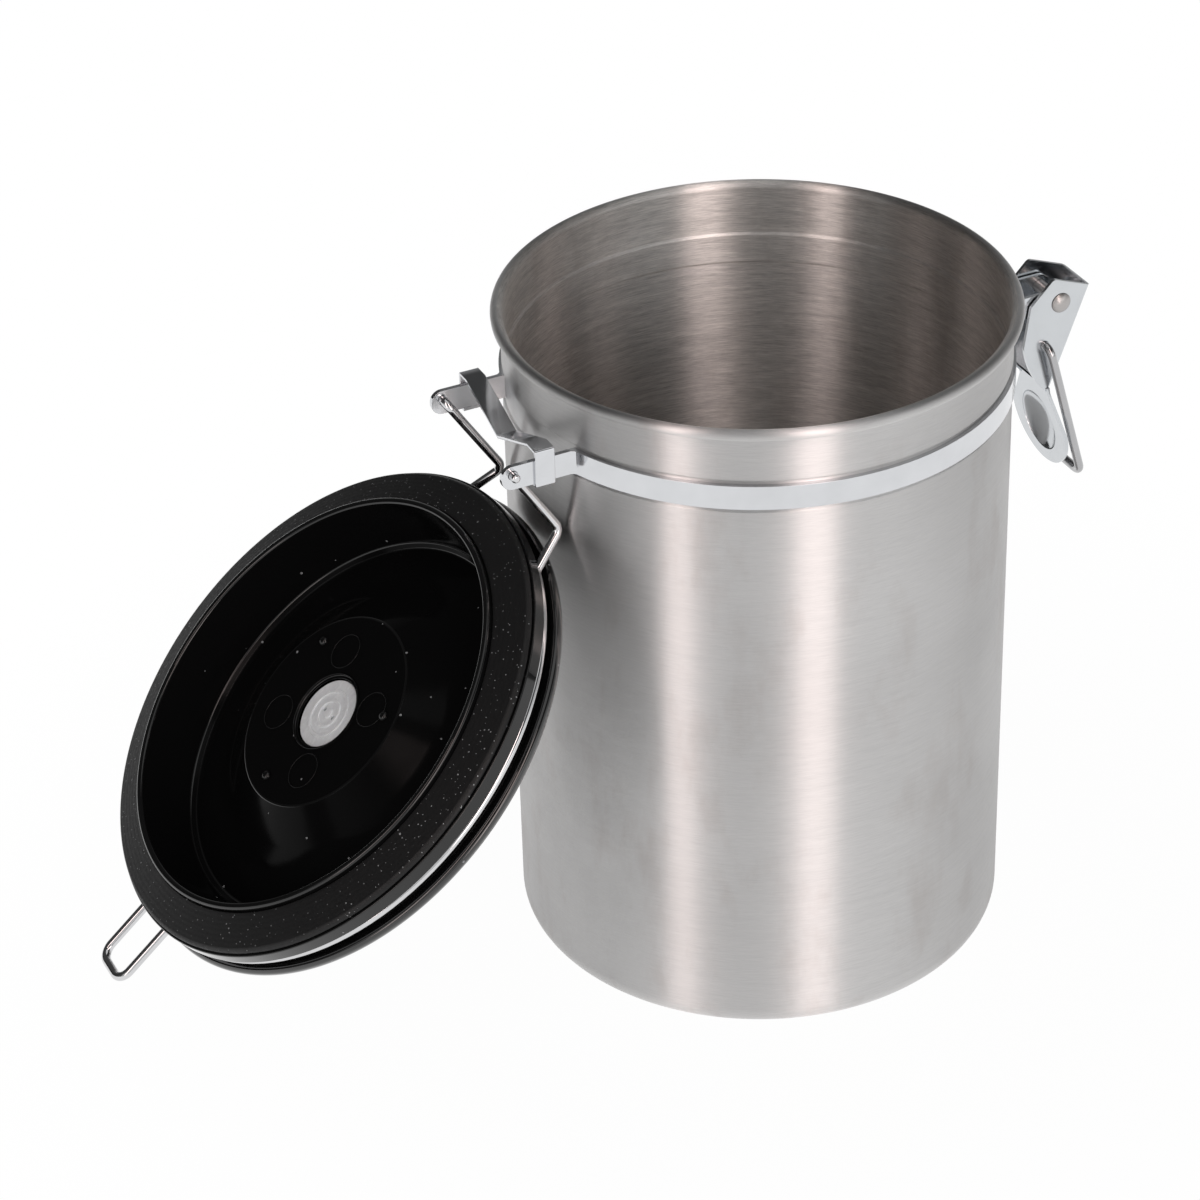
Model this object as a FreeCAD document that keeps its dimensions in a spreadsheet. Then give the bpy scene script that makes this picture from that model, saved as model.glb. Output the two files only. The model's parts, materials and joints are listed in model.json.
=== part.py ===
import FreeCAD, Part
import math
import os
import re

import Sketcher

# A steel coffee canister with a clamp lid and a one way gas valve, in millimetres.
# Origin: centre of the base. +Z up, +X from the axis to the latch, the hinge at -X.
# The lid hangs open behind the hinge, the latch lever is down and its bail lies on it.

SIZES = {
    # drawn steel body
    "body_radius": 60.0,
    "rim_height": 169.2,
    "shell_wall": 0.8,
    "corner_round": 6.0,
    "foot_inset": 10.0,
    "foot_slope": 3.0,
    "base_rise": 1.6,
    "lip_overhang": 2.2,
    "lip_bead": 1.3,
    "groove_depth": 0.5,
    "groove_slope": 1.2,
    # strip clamped round the neck
    "band_below_rim": 17.7,
    "band_height": 6.0,
    "band_thickness": 1.2,
    "hinge_gap": 12.5,
    "pivot_rise": 0.7,
    "ear_spread": 18.8,
    "ear_round": 2.8,
    "ear_bend": 1.6,
    # tie strip across the two ears
    "clip_width": 4.9,
    "clip_thickness": 0.8,
    "clip_setback": 5.2,
    "clip_rise": 2.0,
    "clip_dip": 6.4,
    "clip_shoulder": 2.2,
    "clip_bend": 0.6,
    # bent wire, the same stock for the hoop and the bail
    "wire_radius": 1.1,
    "wire_bend": 2.4,
    "wire_dome": 0.7,
    # clearances
    "hole_play": 0.1,
    "seat_play": 0.05,
    "hook_play": 0.15,
    "gasket_play": 0.2,
    "bracket_play": 0.4,
    "bail_play": 0.25,
    "rest_gap": 0.5,
    "overrun": 5.0,
    # latch
    "latch_gap": 19.7,
    "latch_below_band": 1.3,
    "bracket_plate": 1.0,
    "bracket_rise": 2.9,
    "rivet_radius": 1.6,
    "rivet_head": 2.65,
    "rivet_dome": 1.15,
    "lever_width": 12.4,
    "lever_plate": 0.9,
    "lever_lean": 21.2,
    "lever_bend": 1.1,
    "web_offset": 6.6,
    "web_length": 23.4,
    "head_top": 5.6,
    "head_back": 4.5,
    "head_round": 1.4,
    "shoulder_back": 8.0,
    "shoulder_low": 2.5,
    "waist_back": 5.6,
    "waist_low": 13.1,
    "throat_round": 24.0,
    "spoon_lean": 10.7,
    "spoon_length": 23.4,
    "spoon_width": 24.4,
    "spoon_flare": 0.3,
    "dish_length": 16.4,
    "dish_width": 15.0,
    "dish_depth": 1.5,
    "dish_start": 3.6,
    "bail_drop": 11.4,
    "bail_corner": 2.6,
    "bail_hang": 15.5,
    "bail_stub": 1.4,
    "hook_gap": 13.8,
    # wire hoop of the lid
    "hoop_overhang": 1.7,
    "elbow_gap": 9.3,
    "elbow_inset": 3.2,
    "leg_inset": 2.6,
    "arm_outset": 0.9,
    "pivot_proud": 2.2,
    "tongue_gap": 19.7,
    "tongue_inset": 0.2,
    "tongue_corner": 3.4,
    # lid mouldings and gasket, measured from the plane of the hoop wire
    "moulding_wall": 1.6,
    "flange_overhang": 1.5,
    "flange_low": 4.6,
    "collar_top": 2.55,
    "cover_overhang": 2.2,
    "cover_round_low": 1.2,
    "cover_round_top": 2.2,
    "cover_crown": 8.0,
    "cover_dome": 110.0,
    "plug_inset": 5.5,
    "plug_depth": 9.9,
    "plug_wall": 1.7,
    "plug_round": 0.8,
    "well_radius": 49.2,
    "well_height": 5.9,
    "well_round": 1.2,
    "cone_radius": 37.2,
    "cone_height": 4.3,
    "disc_radius": 24.7,
    "disc_depth": 3.6,
    "recess_width": 1.0,
    "recess_depth": 0.9,
    "mark_radius": 4.4,
    "mark_circle": 15.6,
    "mark_turn": 55.0,
    "mark_count": 4,
    "mark_depth": 0.2,
    "stake_radius": 1.2,
    "stake_dome": 0.95,
    "stake_circle": 20.5,
    "stake_count": 3,
    "stake_proud": 0.9,
    "gasket_inset": 0.6,
    "gasket_edge": 1.4,
    "gasket_short": 1.5,
    "gasket_round": 0.8,
    # gas valve on the axis of the lid
    "valve_radius": 8.7,
    "valve_depth": 2.2,
    "valve_wall": 1.2,
    "valve_flange": 1.2,
    "boss_top": 2.1,
    "ring_outer": 5.4,
    "ring_inner": 2.9,
    "ring_width": 0.8,
    "ring_height": 0.3,
    "nub_radius": 1.2,
    "port_radius": 0.5,
    "port_circle": 2.1,
    "port_count": 2,
    "disc_valve_play": 1.2,
    "disc_valve_thickness": 0.8,
    "valve_travel": 0.8,
    "cage_thickness": 0.9,
    "cage_port": 1.1,
    "cage_circle": 4.6,
    "cage_count": 6,
    "cap_radius": 12.0,
    "cap_sink": 1.7,
    "vent_radius": 6.4,
    "slot_radius": 0.8,
    "slot_circle": 4.2,
    "slot_count": 8,
}

# Lengths and angles that follow from the driving sizes
FOLLOWS = {
    "wall_inner": "body_radius - shell_wall",
    "foot_radius": "body_radius - foot_inset",
    "lip_radius": "body_radius + lip_overhang",
    "lip_round": "lip_radius - lip_bead - wall_inner",
    "groove_radius": "body_radius - groove_depth",
    "band_middle": "rim_height - band_below_rim",
    "band_low": "band_middle - band_height / 2",
    "band_high": "band_middle + band_height / 2",
    "band_outer": "groove_radius + band_thickness",
    "hinge_reach": "body_radius + hinge_gap",
    "pivot_height": "band_middle + pivot_rise",
    "ear_outer": "ear_spread + band_thickness",
    "latch_reach": "body_radius + latch_gap",
    "latch_height": "band_middle - latch_below_band",
    "lever_half": "lever_width / 2",
    "bracket_half": "lever_half - lever_plate - bracket_play",
    "rivet_face": "lever_half + hole_play",
    "rivet_sphere": "(rivet_head^2 + rivet_dome^2) / (2 * rivet_dome)",
    "spoon_neck": "lever_half + spoon_flare",
    "bail_half": "rivet_face + rivet_dome + bail_play + wire_radius",
    "bail_inset": "bail_half - bail_corner",
    "bail_start": "lever_half - lever_plate - bail_stub",
    "bail_across": "latch_reach - bail_drop * sin(lever_lean * 1 deg)",
    "bail_height": "latch_height - bail_drop * cos(lever_lean * 1 deg)",
    "hook_reach": "body_radius + hook_gap",
    "hook_height": "hoop_height + 2 * wire_radius + hook_play",
    "bail_length": "sqrt((hook_reach - bail_across)^2 + (hook_height - bail_height)^2)",
    "hoop_radius": "body_radius + hoop_overhang",
    "collar_radius": "hoop_radius - wire_radius - hole_play",
    "flange_radius": "hoop_radius + flange_overhang",
    "flange_top": "wire_radius + hook_play",
    "cover_radius": "hoop_radius + cover_overhang",
    "cover_low": "collar_top + seat_play",
    "cover_edge": "cover_low + cover_round_low + cover_round_top",
    "cover_top": "cover_edge + cover_crown",
    "skirt_radius": "collar_radius - moulding_wall - seat_play",
    "plug_radius": "wall_inner - plug_inset",
    "plug_inner": "plug_radius - plug_wall",
    "flange_back": "moulding_wall - flange_low",
    "disc_top": "moulding_wall - disc_depth",
    "gasket_radius": "flange_radius - gasket_inset",
    "gasket_bore": "plug_radius + seat_play",
    "gasket_top": "flange_low + seat_play",
    "gasket_depth": "plug_depth - gasket_short",
    "gasket_slope": "(gasket_depth - gasket_top - gasket_edge) / (gasket_radius - gasket_bore)",
    "boss_radius": "valve_radius + seat_play",
    "cap_seat": "cover_top - cap_sink",
    "valve_inner": "valve_radius - valve_wall",
    "valve_top": "boss_top + seat_play + valve_flange",
    "valve_floor": "valve_wall - valve_depth",
    "valve_seat": "valve_floor + ring_height + seat_play",
    "disc_valve_radius": "valve_inner - disc_valve_play",
    "cage_low": "valve_seat + disc_valve_thickness + valve_travel + hole_play",
    # closed, the sloped face of the gasket meets the round of the lip
    "lip_lift": "lip_round * (sqrt(1 + gasket_slope^2) - 1)",
    "lip_drop": "gasket_slope * (lip_radius - lip_bead - gasket_bore)",
    "hoop_height": "rim_height + gasket_depth + lip_lift - lip_drop + gasket_play",
    "hoop_rise": "hoop_height - pivot_height",
    # open, the rounded edge of the cover leans on the wall below the hinge
    "edge_across": "hinge_reach - cover_radius + cover_round_top",
    "edge_up": "hoop_rise + cover_low + cover_round_low",
    "edge_stop": "hinge_gap - rest_gap - cover_round_top",
    "edge_swing": "acos(edge_stop / sqrt(edge_across^2 + edge_up^2))",
    "lid_open_angle": "360 deg - edge_swing - atan2(edge_up; edge_across)",
}

# An edge counts as being at a place, or along a way, within these shares
NEAR_SHARE = 1e-5
ALONG_SHARE = 0.99

LONG = FreeCAD.Vector(1, 0, 0)
ACROSS = FreeCAD.Vector(0, 1, 0)
UP = FreeCAD.Vector(0, 0, 1)

doc = FreeCAD.newDocument("coffee_canister")
sheet = doc.addObject("Spreadsheet::Sheet", "Sizes")
for row, (word, number) in enumerate(SIZES.items(), start=1):
    sheet.set("A%d" % row, word)
    sheet.set("B%d" % row, str(number))
    sheet.setAlias("B%d" % row, word)
doc.recompute()

ALIAS = re.compile(r"\b(" + "|".join(SIZES) + r")\b")
FOLLOWED = re.compile(r"\b(" + "|".join(FOLLOWS) + r")\b")


def expand(text):
    """The same expression, in the sheet's own words only."""
    return FOLLOWED.sub(lambda found: "(%s)" % expand(FOLLOWS[found.group(1)]), text)


def bound(text):
    """An expression on the sheet's cells, for setExpression."""
    return ALIAS.sub(r"Sizes.\1", expand(text))


def value(text):
    """The number that an expression on the sheet's cells gives."""
    result = sheet.evalExpression(expand(text))
    return float(getattr(result, "Value", result))


def new_body(label):
    body = doc.addObject("PartDesign::Body", label)
    body.Label = label
    return body


def plane_sketch(body, name, role, lift=None):
    """An empty sketch on one of the body's own planes, lifted along its normal."""
    sketch = body.newObject("Sketcher::SketchObject", name)
    plane = [feature for feature in body.Origin.OriginFeatures if feature.Role == role][0]
    sketch.AttachmentSupport = [(plane, "")]
    sketch.MapMode = "FlatFace"
    if lift:
        sketch.setExpression("AttachmentOffset.Base.z", bound(lift))
    return sketch


def hold(sketch, kind, geometry, end, text):
    """A constraint from the origin to one point, bound to the sheet."""
    index = sketch.addConstraint(Sketcher.Constraint(kind, -1, 1, geometry, end, value(text)))
    sketch.setExpression("Constraints[%d]" % index, bound(text))


def arc_between(start, finish, radius):
    """The shorter arc from start to finish: counter-clockwise when radius is positive."""
    chord = finish - start
    across = FreeCAD.Vector(-chord.y, chord.x, 0)
    across.normalize()
    reach = math.sqrt(max(radius ** 2 - (chord.Length / 2) ** 2, 0))
    side = 1 if radius > 0 else -1
    centre = (start + finish) * 0.5 + across * reach * side
    first, last = (start, finish) if radius > 0 else (finish, start)
    angles = [math.atan2(point.y - centre.y, point.x - centre.x) for point in (first, last)]
    if angles[1] < angles[0]:
        angles[1] += 2 * math.pi
    circle = Part.Circle(centre, UP, abs(radius))
    return Part.ArcOfCircle(circle, angles[0], angles[1])


def draw(sketch, corners, closed=True):
    """Lines and arcs through corners, each (x, y) or (x, y, radius of the arc that leaves it)."""
    points = [FreeCAD.Vector(value(corner[0]), value(corner[1]), 0) for corner in corners]
    count = len(corners) if closed else len(corners) - 1
    ends = []
    for index in range(count):
        start = points[index]
        finish = points[(index + 1) % len(points)]
        if len(corners[index]) == 3:
            radius = value(corners[index][2])
            geometry = sketch.addGeometry(arc_between(start, finish, radius), False)
            ends.append((geometry, 1, 2) if radius > 0 else (geometry, 2, 1))
        else:
            ends.append((sketch.addGeometry(Part.LineSegment(start, finish), False), 1, 2))
    for index in range(count if closed else count - 1):
        before = ends[index]
        after = ends[(index + 1) % count]
        sketch.addConstraint(Sketcher.Constraint("Coincident", before[0], before[2], after[0], after[1]))
    for corner, (geometry, first, _) in zip(corners, ends):
        hold(sketch, "DistanceX", geometry, first, corner[0])
        hold(sketch, "DistanceY", geometry, first, corner[1])
    if not closed:
        hold(sketch, "DistanceX", ends[-1][0], ends[-1][2], corners[-1][0])
        hold(sketch, "DistanceY", ends[-1][0], ends[-1][2], corners[-1][1])
    for corner, end in zip(corners, ends):
        if len(corner) == 3:
            text = "abs(%s)" % corner[2]
            number = sketch.addConstraint(Sketcher.Constraint("Radius", end[0], value(text)))
            sketch.setExpression("Constraints[%d]" % number, bound(text))
    return sketch


def draw_circle(sketch, across, up, radius):
    circle = Part.Circle(FreeCAD.Vector(value(across), value(up), 0), UP, value(radius))
    geometry = sketch.addGeometry(circle, False)
    hold(sketch, "DistanceX", geometry, 3, across)
    hold(sketch, "DistanceY", geometry, 3, up)
    index = sketch.addConstraint(Sketcher.Constraint("Radius", geometry, value(radius)))
    sketch.setExpression("Constraints[%d]" % index, bound(radius))
    return sketch


def turn(body, name, corners):
    """A ring or cup: the outline in the XZ plane turned once round Z."""
    sketch = draw(plane_sketch(body, name + "_outline", "XZ_Plane"), corners)
    feature = body.newObject("PartDesign::Revolution", name)
    feature.Profile = sketch
    feature.ReferenceAxis = (sketch, ["V_Axis"])
    feature.Angle = 360
    return feature


def pad(body, name, sketch, length, symmetric=False):
    feature = body.newObject("PartDesign::Pad", name)
    feature.Profile = sketch
    feature.SideType = "Symmetric" if symmetric else "One side"
    feature.setExpression("Length", bound(length))
    return feature


def pocket(body, name, sketch, length=None):
    """A cut to both sides of its sketch: right through, or length wide in all."""
    feature = body.newObject("PartDesign::Pocket", name)
    feature.Profile = sketch
    feature.SideType = "Symmetric"
    if length:
        feature.setExpression("Length", bound(length))
    else:
        feature.Type = "ThroughAll"
    return feature


def ring_of(body, name, feature, count):
    """Copies of a feature spaced evenly round Z."""
    doc.recompute()
    pattern = body.newObject("PartDesign::PolarPattern", name)
    pattern.Originals = [feature]
    axis = [item for item in body.Origin.OriginFeatures if item.Role == "Z_Axis"][0]
    pattern.Axis = (axis, [""])
    pattern.Angle = 360
    pattern.setExpression("Occurrences", bound(count))
    body.Tip = pattern
    return pattern


def at(number, text):
    """True where a number is what an expression gives."""
    return abs(number - value(text)) < NEAR_SHARE * value("body_radius")


def runs(edge, way):
    """True for a straight edge along a way."""
    straight = edge.Curve.TypeId == "Part::GeomLine"
    return straight and abs(edge.tangentAt(edge.FirstParameter).dot(way)) > ALONG_SHARE


def soften(body, name, base, radius, chosen):
    """A fillet on the edges of base that the function chosen picks."""
    doc.recompute()
    names = ["Edge%d" % number for number, edge in enumerate(base.Shape.Edges, start=1) if chosen(edge)]
    feature = body.newObject("PartDesign::Fillet", name)
    feature.Base = (base, names)
    feature.setExpression("Radius", bound(radius))
    return feature


def place(item, across, up, tilt=None):
    """Put a sub-part at (across, 0, up), turned about Y by tilt degrees."""
    item.Placement = FreeCAD.Placement(FreeCAD.Vector(), FreeCAD.Rotation(ACROSS, 1))
    item.setExpression("Placement.Base.x", bound(across))
    item.setExpression("Placement.Base.z", bound(up))
    item.setExpression("Placement.Rotation.Angle", bound(tilt or "0"))
    return item


def hang_on_lid(item):
    """Carry a piece of the lid from its place on the hoop's plane to the open pose."""
    sine = "sin(lid_open_angle)"
    cosine = "cos(lid_open_angle)"
    across = "hinge_reach * (%s - 1) - hoop_rise * %s" % (cosine, sine)
    up = "pivot_height + hinge_reach * %s + hoop_rise * %s" % (sine, cosine)
    return place(item, across, up, "-lid_open_angle")


# Canister and what is fixed to it


def canister_shell():
    body = new_body("canister_shell")
    turn(body, "wall_and_base", [
        ("0", "base_rise"),
        ("foot_radius - foot_slope", "base_rise"),
        ("foot_radius", "0"),
        ("body_radius - corner_round", "0", "corner_round"),
        ("body_radius", "corner_round"),
        ("body_radius", "band_low - groove_slope"),
        ("groove_radius", "band_low - groove_slope / 2"),
        ("groove_radius", "band_high + groove_slope / 2"),
        ("body_radius", "band_high + groove_slope"),
        ("body_radius", "rim_height - 2 * lip_bead"),
        ("lip_radius - lip_bead", "rim_height - 2 * lip_bead", "lip_bead"),
        ("lip_radius", "rim_height - lip_bead", "lip_bead"),
        ("lip_radius - lip_bead", "rim_height", "lip_round"),
        ("wall_inner", "rim_height - lip_round"),
        ("wall_inner", "band_high + groove_slope"),
        ("groove_radius - shell_wall", "band_high + groove_slope / 2"),
        ("groove_radius - shell_wall", "band_low - groove_slope / 2"),
        ("wall_inner", "band_low - groove_slope"),
        ("wall_inner", "corner_round", "shell_wall - corner_round"),
        ("body_radius - corner_round", "shell_wall"),
        ("foot_radius", "shell_wall"),
        ("foot_radius - foot_slope", "base_rise + shell_wall"),
        ("0", "base_rise + shell_wall"),
    ])
    return body


def neck_band():
    """A strip round the neck whose two ends turn outwards as the hinge ears."""
    body = new_body("neck_band")
    inner_root = "-sqrt(groove_radius^2 - ear_spread^2)"
    outer_root = "-sqrt(band_outer^2 - ear_outer^2)"
    tip = "-hinge_reach - ear_round"
    sketch = draw(plane_sketch(body, "strip_outline", "XY_Plane", "band_low"), [
        (outer_root, "-ear_outer", "band_outer"),
        ("band_outer", "0", "band_outer"),
        (outer_root, "ear_outer"),
        (tip, "ear_outer"),
        (tip, "ear_spread"),
        (inner_root, "ear_spread", "-groove_radius"),
        ("groove_radius", "0", "-groove_radius"),
        (inner_root, "-ear_spread"),
        (tip, "-ear_spread"),
        (tip, "-ear_outer"),
    ])
    strip = pad(body, "strip", sketch, "band_height")
    bends = soften(body, "ear_bends", strip, "ear_bend", lambda edge: runs(edge, UP)
                   and at(edge.CenterOfMass.x, outer_root))
    soften(body, "ear_ends", bends, "ear_round", lambda edge: runs(edge, ACROSS)
           and at(edge.CenterOfMass.x, tip))
    hole = draw_circle(plane_sketch(body, "pivot_hole", "XZ_Plane"), "-hinge_reach", "pivot_height",
                       "wire_radius + hole_play")
    pocket(body, "pivot_holes", hole)
    return body


def hinge_clip():
    """A tie strip hooked over both ears, with its middle pressed down in a vee."""
    body = new_body("hinge_clip")
    top = "band_high + clip_rise"
    low = "band_low - seat_play"
    wall = "ear_outer + seat_play"
    right = [
        ("0", top + " - clip_dip + clip_thickness"),
        ("ear_spread - clip_shoulder", top + " + clip_thickness"),
        (wall + " + clip_thickness", top + " + clip_thickness"),
        (wall + " + clip_thickness", low + " - clip_thickness"),
        ("ear_spread", low + " - clip_thickness"),
        ("ear_spread", low),
        (wall, low),
        (wall, top),
        ("ear_spread - clip_shoulder", top),
        ("0", top + " - clip_dip"),
    ]
    left = [("-(%s)" % across, up) for across, up in reversed(right[1:-1])]
    reach = "-(hinge_reach - clip_setback - clip_width / 2)"
    sketch = draw(plane_sketch(body, "strip_outline", "YZ_Plane", reach), right + left)
    strip = pad(body, "strip", sketch, "clip_width", symmetric=True)
    soften(body, "bends", strip, "clip_bend", lambda edge: runs(edge, LONG)
           and at(abs(edge.CenterOfMass.y), wall + " + clip_thickness"))
    return body


def latch_bracket():
    """A channel seated on the band, whose two arms carry the lever's rivet."""
    body = new_body("latch_bracket")
    saddle_radius = "band_outer + seat_play"
    nose = draw(plane_sketch(body, "side_outline", "XZ_Plane"), [
        ("body_radius", "latch_height - bracket_rise"),
        ("latch_reach", "latch_height - bracket_rise", "bracket_rise"),
        ("latch_reach + bracket_rise", "latch_height", "bracket_rise"),
        ("latch_reach", "latch_height + bracket_rise"),
        ("band_outer + 2 * bracket_plate", "latch_height + bracket_rise"),
        ("band_outer + 2 * bracket_plate", "band_high"),
        ("body_radius", "band_high"),
    ])
    pad(body, "block", nose, "2 * bracket_half", symmetric=True)
    inside = draw(plane_sketch(body, "channel", "XY_Plane", "latch_height"), [
        (saddle_radius + " + bracket_plate", "bracket_plate - bracket_half"),
        ("latch_reach + bracket_rise + overrun", "bracket_plate - bracket_half"),
        ("latch_reach + bracket_rise + overrun", "bracket_half - bracket_plate"),
        (saddle_radius + " + bracket_plate", "bracket_half - bracket_plate"),
    ])
    pocket(body, "channel_cut", inside)
    saddle = draw_circle(plane_sketch(body, "saddle", "XY_Plane", "latch_height"), "0", "0", saddle_radius)
    pocket(body, "saddle_cut", saddle)
    hole = draw_circle(plane_sketch(body, "rivet_hole", "XZ_Plane"), "latch_reach", "latch_height",
                       "rivet_radius + seat_play")
    pocket(body, "rivet_holes", hole)
    return body


def latch_rivet():
    """The domed pin that the lever turns on, drawn along Z and laid along Y."""
    body = new_body("latch_rivet")
    turn(body, "pin", [
        ("0", "-rivet_face - rivet_dome", "rivet_sphere"),
        ("rivet_head", "-rivet_face"),
        ("rivet_radius", "-rivet_face"),
        ("rivet_radius", "rivet_face"),
        ("rivet_head", "rivet_face", "rivet_sphere"),
        ("0", "rivet_face + rivet_dome"),
    ])
    body.Placement = FreeCAD.Placement(FreeCAD.Vector(), FreeCAD.Rotation(LONG, -90))
    body.setExpression("Placement.Base.x", bound("latch_reach"))
    body.setExpression("Placement.Base.z", bound("latch_height"))
    return body


# Latch lever and bail


def lever_channel():
    """Two side plates and a web: in this frame the web is upright and the rivet is the origin."""
    body = new_body("lever_channel")
    side = draw(plane_sketch(body, "plate_outline", "XZ_Plane"), [
        ("web_offset", "head_top"),
        ("-head_back", "head_top"),
        ("-shoulder_back", "-shoulder_low"),
        ("-waist_back", "-waist_low", "throat_round"),
        ("web_offset - lever_plate", "-web_length"),
        ("web_offset", "-web_length"),
    ])
    block = pad(body, "block", side, "lever_width", symmetric=True)
    bends = soften(body, "bends", block, "lever_bend", lambda edge: runs(edge, UP)
                   and at(edge.CenterOfMass.x, "web_offset"))
    soften(body, "plate_corners", bends, "head_round", lambda edge: runs(edge, ACROSS)
           and edge.CenterOfMass.x < 0 and edge.CenterOfMass.z > value("-waist_low / 2"))
    inside = draw(plane_sketch(body, "channel", "XZ_Plane"), [
        ("web_offset - lever_plate", "head_top + overrun"),
        ("-shoulder_back - overrun", "head_top + overrun"),
        ("-shoulder_back - overrun", "-web_length - overrun"),
        ("web_offset - lever_plate", "-web_length - overrun"),
    ])
    pocket(body, "channel_cut", inside, "lever_width - 2 * lever_plate")
    holes = plane_sketch(body, "pin_holes", "XZ_Plane")
    draw_circle(holes, "0", "0", "rivet_radius + hole_play")
    draw_circle(holes, "0", "-bail_drop", "wire_radius + hole_play")
    pocket(body, "pin_hole_cuts", holes)
    return body


def spoon_tab():
    """The thumb tab: a tapered plate with an oval dish pressed outwards, drawn flat."""
    body = new_body("spoon_plate")
    half = "spoon_width / 2"
    widest = "spoon_length - spoon_width / 2"
    sketch = draw(plane_sketch(body, "tab_outline", "XY_Plane"), [
        ("-lever_plate", "-spoon_neck"),
        ("lever_plate", "-spoon_neck"),
        (widest, "-spoon_width / 2", half),
        ("spoon_length", "0", half),
        (widest, half),
        ("lever_plate", "spoon_neck"),
        ("-lever_plate", "spoon_neck"),
    ])
    pad(body, "tab", sketch, "lever_plate")
    dishes = []
    for label, extra in (("dish_outside", "lever_plate"), ("dish_inside", "0")):
        dish = doc.addObject("Part::Ellipsoid", label)
        dish.setExpression("Radius1", bound("dish_depth + " + extra))
        dish.setExpression("Radius2", bound("dish_length / 2 + " + extra))
        dish.setExpression("Radius3", bound("dish_width / 2 + " + extra))
        dish.Angle1 = 0
        dish.setExpression("Placement.Base.x", bound("dish_start + dish_length / 2"))
        dishes.append(dish)
    raised = doc.addObject("Part::Fuse", "spoon_raised")
    raised.Base = body
    raised.Tool = dishes[0]
    dished = doc.addObject("Part::Cut", "spoon_dished")
    dished.Base = raised
    dished.Tool = dishes[1]
    return place(dished, "web_offset - lever_plate", "-web_length", "90 - lever_lean - spoon_lean")


def latch_lever():
    lever = doc.addObject("Part::Fuse", "latch_lever")
    lever.Base = lever_channel()
    lever.Tool = spoon_tab()
    lever.Refine = True
    lever.Label = "latch_lever"
    return place(lever, "latch_reach", "latch_height", "lever_lean")


def latch_bail():
    """A wire loop whose two ends turn in through the lever's plates."""
    body = new_body("latch_bail")
    path = draw(plane_sketch(body, "wire_path", "YZ_Plane"), [
        ("-bail_start", "0"),
        ("-bail_inset", "0", "bail_corner"),
        ("-bail_half", "-bail_corner"),
        ("-bail_half", "bail_corner - bail_length", "bail_corner"),
        ("-bail_inset", "-bail_length"),
        ("bail_inset", "-bail_length", "bail_corner"),
        ("bail_half", "bail_corner - bail_length"),
        ("bail_half", "-bail_corner", "bail_corner"),
        ("bail_inset", "0"),
        ("bail_start", "0"),
    ], closed=False)
    section = plane_sketch(body, "wire_section", "XZ_Plane", "bail_start")
    draw_circle(section, "0", "0", "wire_radius")
    doc.recompute()
    pipe = body.newObject("PartDesign::AdditivePipe", "wire")
    pipe.Profile = section
    pipe.Spine = (path, ["Edge%d" % number for number in range(1, len(path.Shape.Edges) + 1)])
    return place(body, "bail_across", "bail_height", "-bail_hang")


# Lid, drawn with the hoop wire's plane at zero height


def lid_base():
    """The moulding under the lid: plug wall, deep well, cone, valve boss, flange and wire groove."""
    body = new_body("lid_base")
    moulding = turn(body, "moulding", [
        ("boss_radius", "recess_depth - disc_depth"),
        ("boss_radius + recess_width", "recess_depth - disc_depth"),
        ("boss_radius + recess_width", "-disc_depth"),
        ("disc_radius", "-disc_depth"),
        ("cone_radius", "cone_height"),
        ("well_radius", "well_height"),
        ("plug_inner", "-plug_depth"),
        ("plug_radius", "-plug_depth"),
        ("plug_radius", "-flange_low"),
        ("flange_radius", "-flange_low"),
        ("flange_radius", "-flange_top"),
        ("collar_radius", "-flange_top"),
        ("collar_radius", "collar_top"),
        ("collar_radius - moulding_wall", "collar_top"),
        ("collar_radius - moulding_wall", "flange_back"),
        ("plug_radius", "flange_back"),
        ("well_radius + moulding_wall", "well_height + moulding_wall"),
        ("cone_radius - moulding_wall / 2", "cone_height + moulding_wall"),
        ("disc_radius - moulding_wall / 2", "disc_top"),
        ("boss_radius + moulding_wall", "disc_top"),
        ("boss_radius + moulding_wall", "boss_top"),
        ("boss_radius", "boss_top"),
    ])
    well = soften(body, "well_corner", moulding, "well_round", lambda edge:
                  at(edge.CenterOfMass.z, "well_height") and at(edge.BoundBox.XMax, "well_radius"))
    soften(body, "crest_round", well, "plug_round", lambda edge: at(edge.CenterOfMass.z, "-plug_depth"))
    mark = plane_sketch(body, "pin_mark", "XY_Plane", "-disc_depth")
    draw_circle(mark, "mark_circle * cos(mark_turn * 1 deg)", "mark_circle * sin(mark_turn * 1 deg)",
                "mark_radius")
    ring_of(body, "pin_marks", pocket(body, "pin_mark_cut", mark, "2 * mark_depth"), "mark_count")
    stake = plane_sketch(body, "stake_hole", "XY_Plane")
    draw_circle(stake, "stake_circle", "0", "stake_radius + seat_play")
    ring_of(body, "stake_holes", pocket(body, "stake_hole_cut", stake), "stake_count")
    return hang_on_lid(body)


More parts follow.
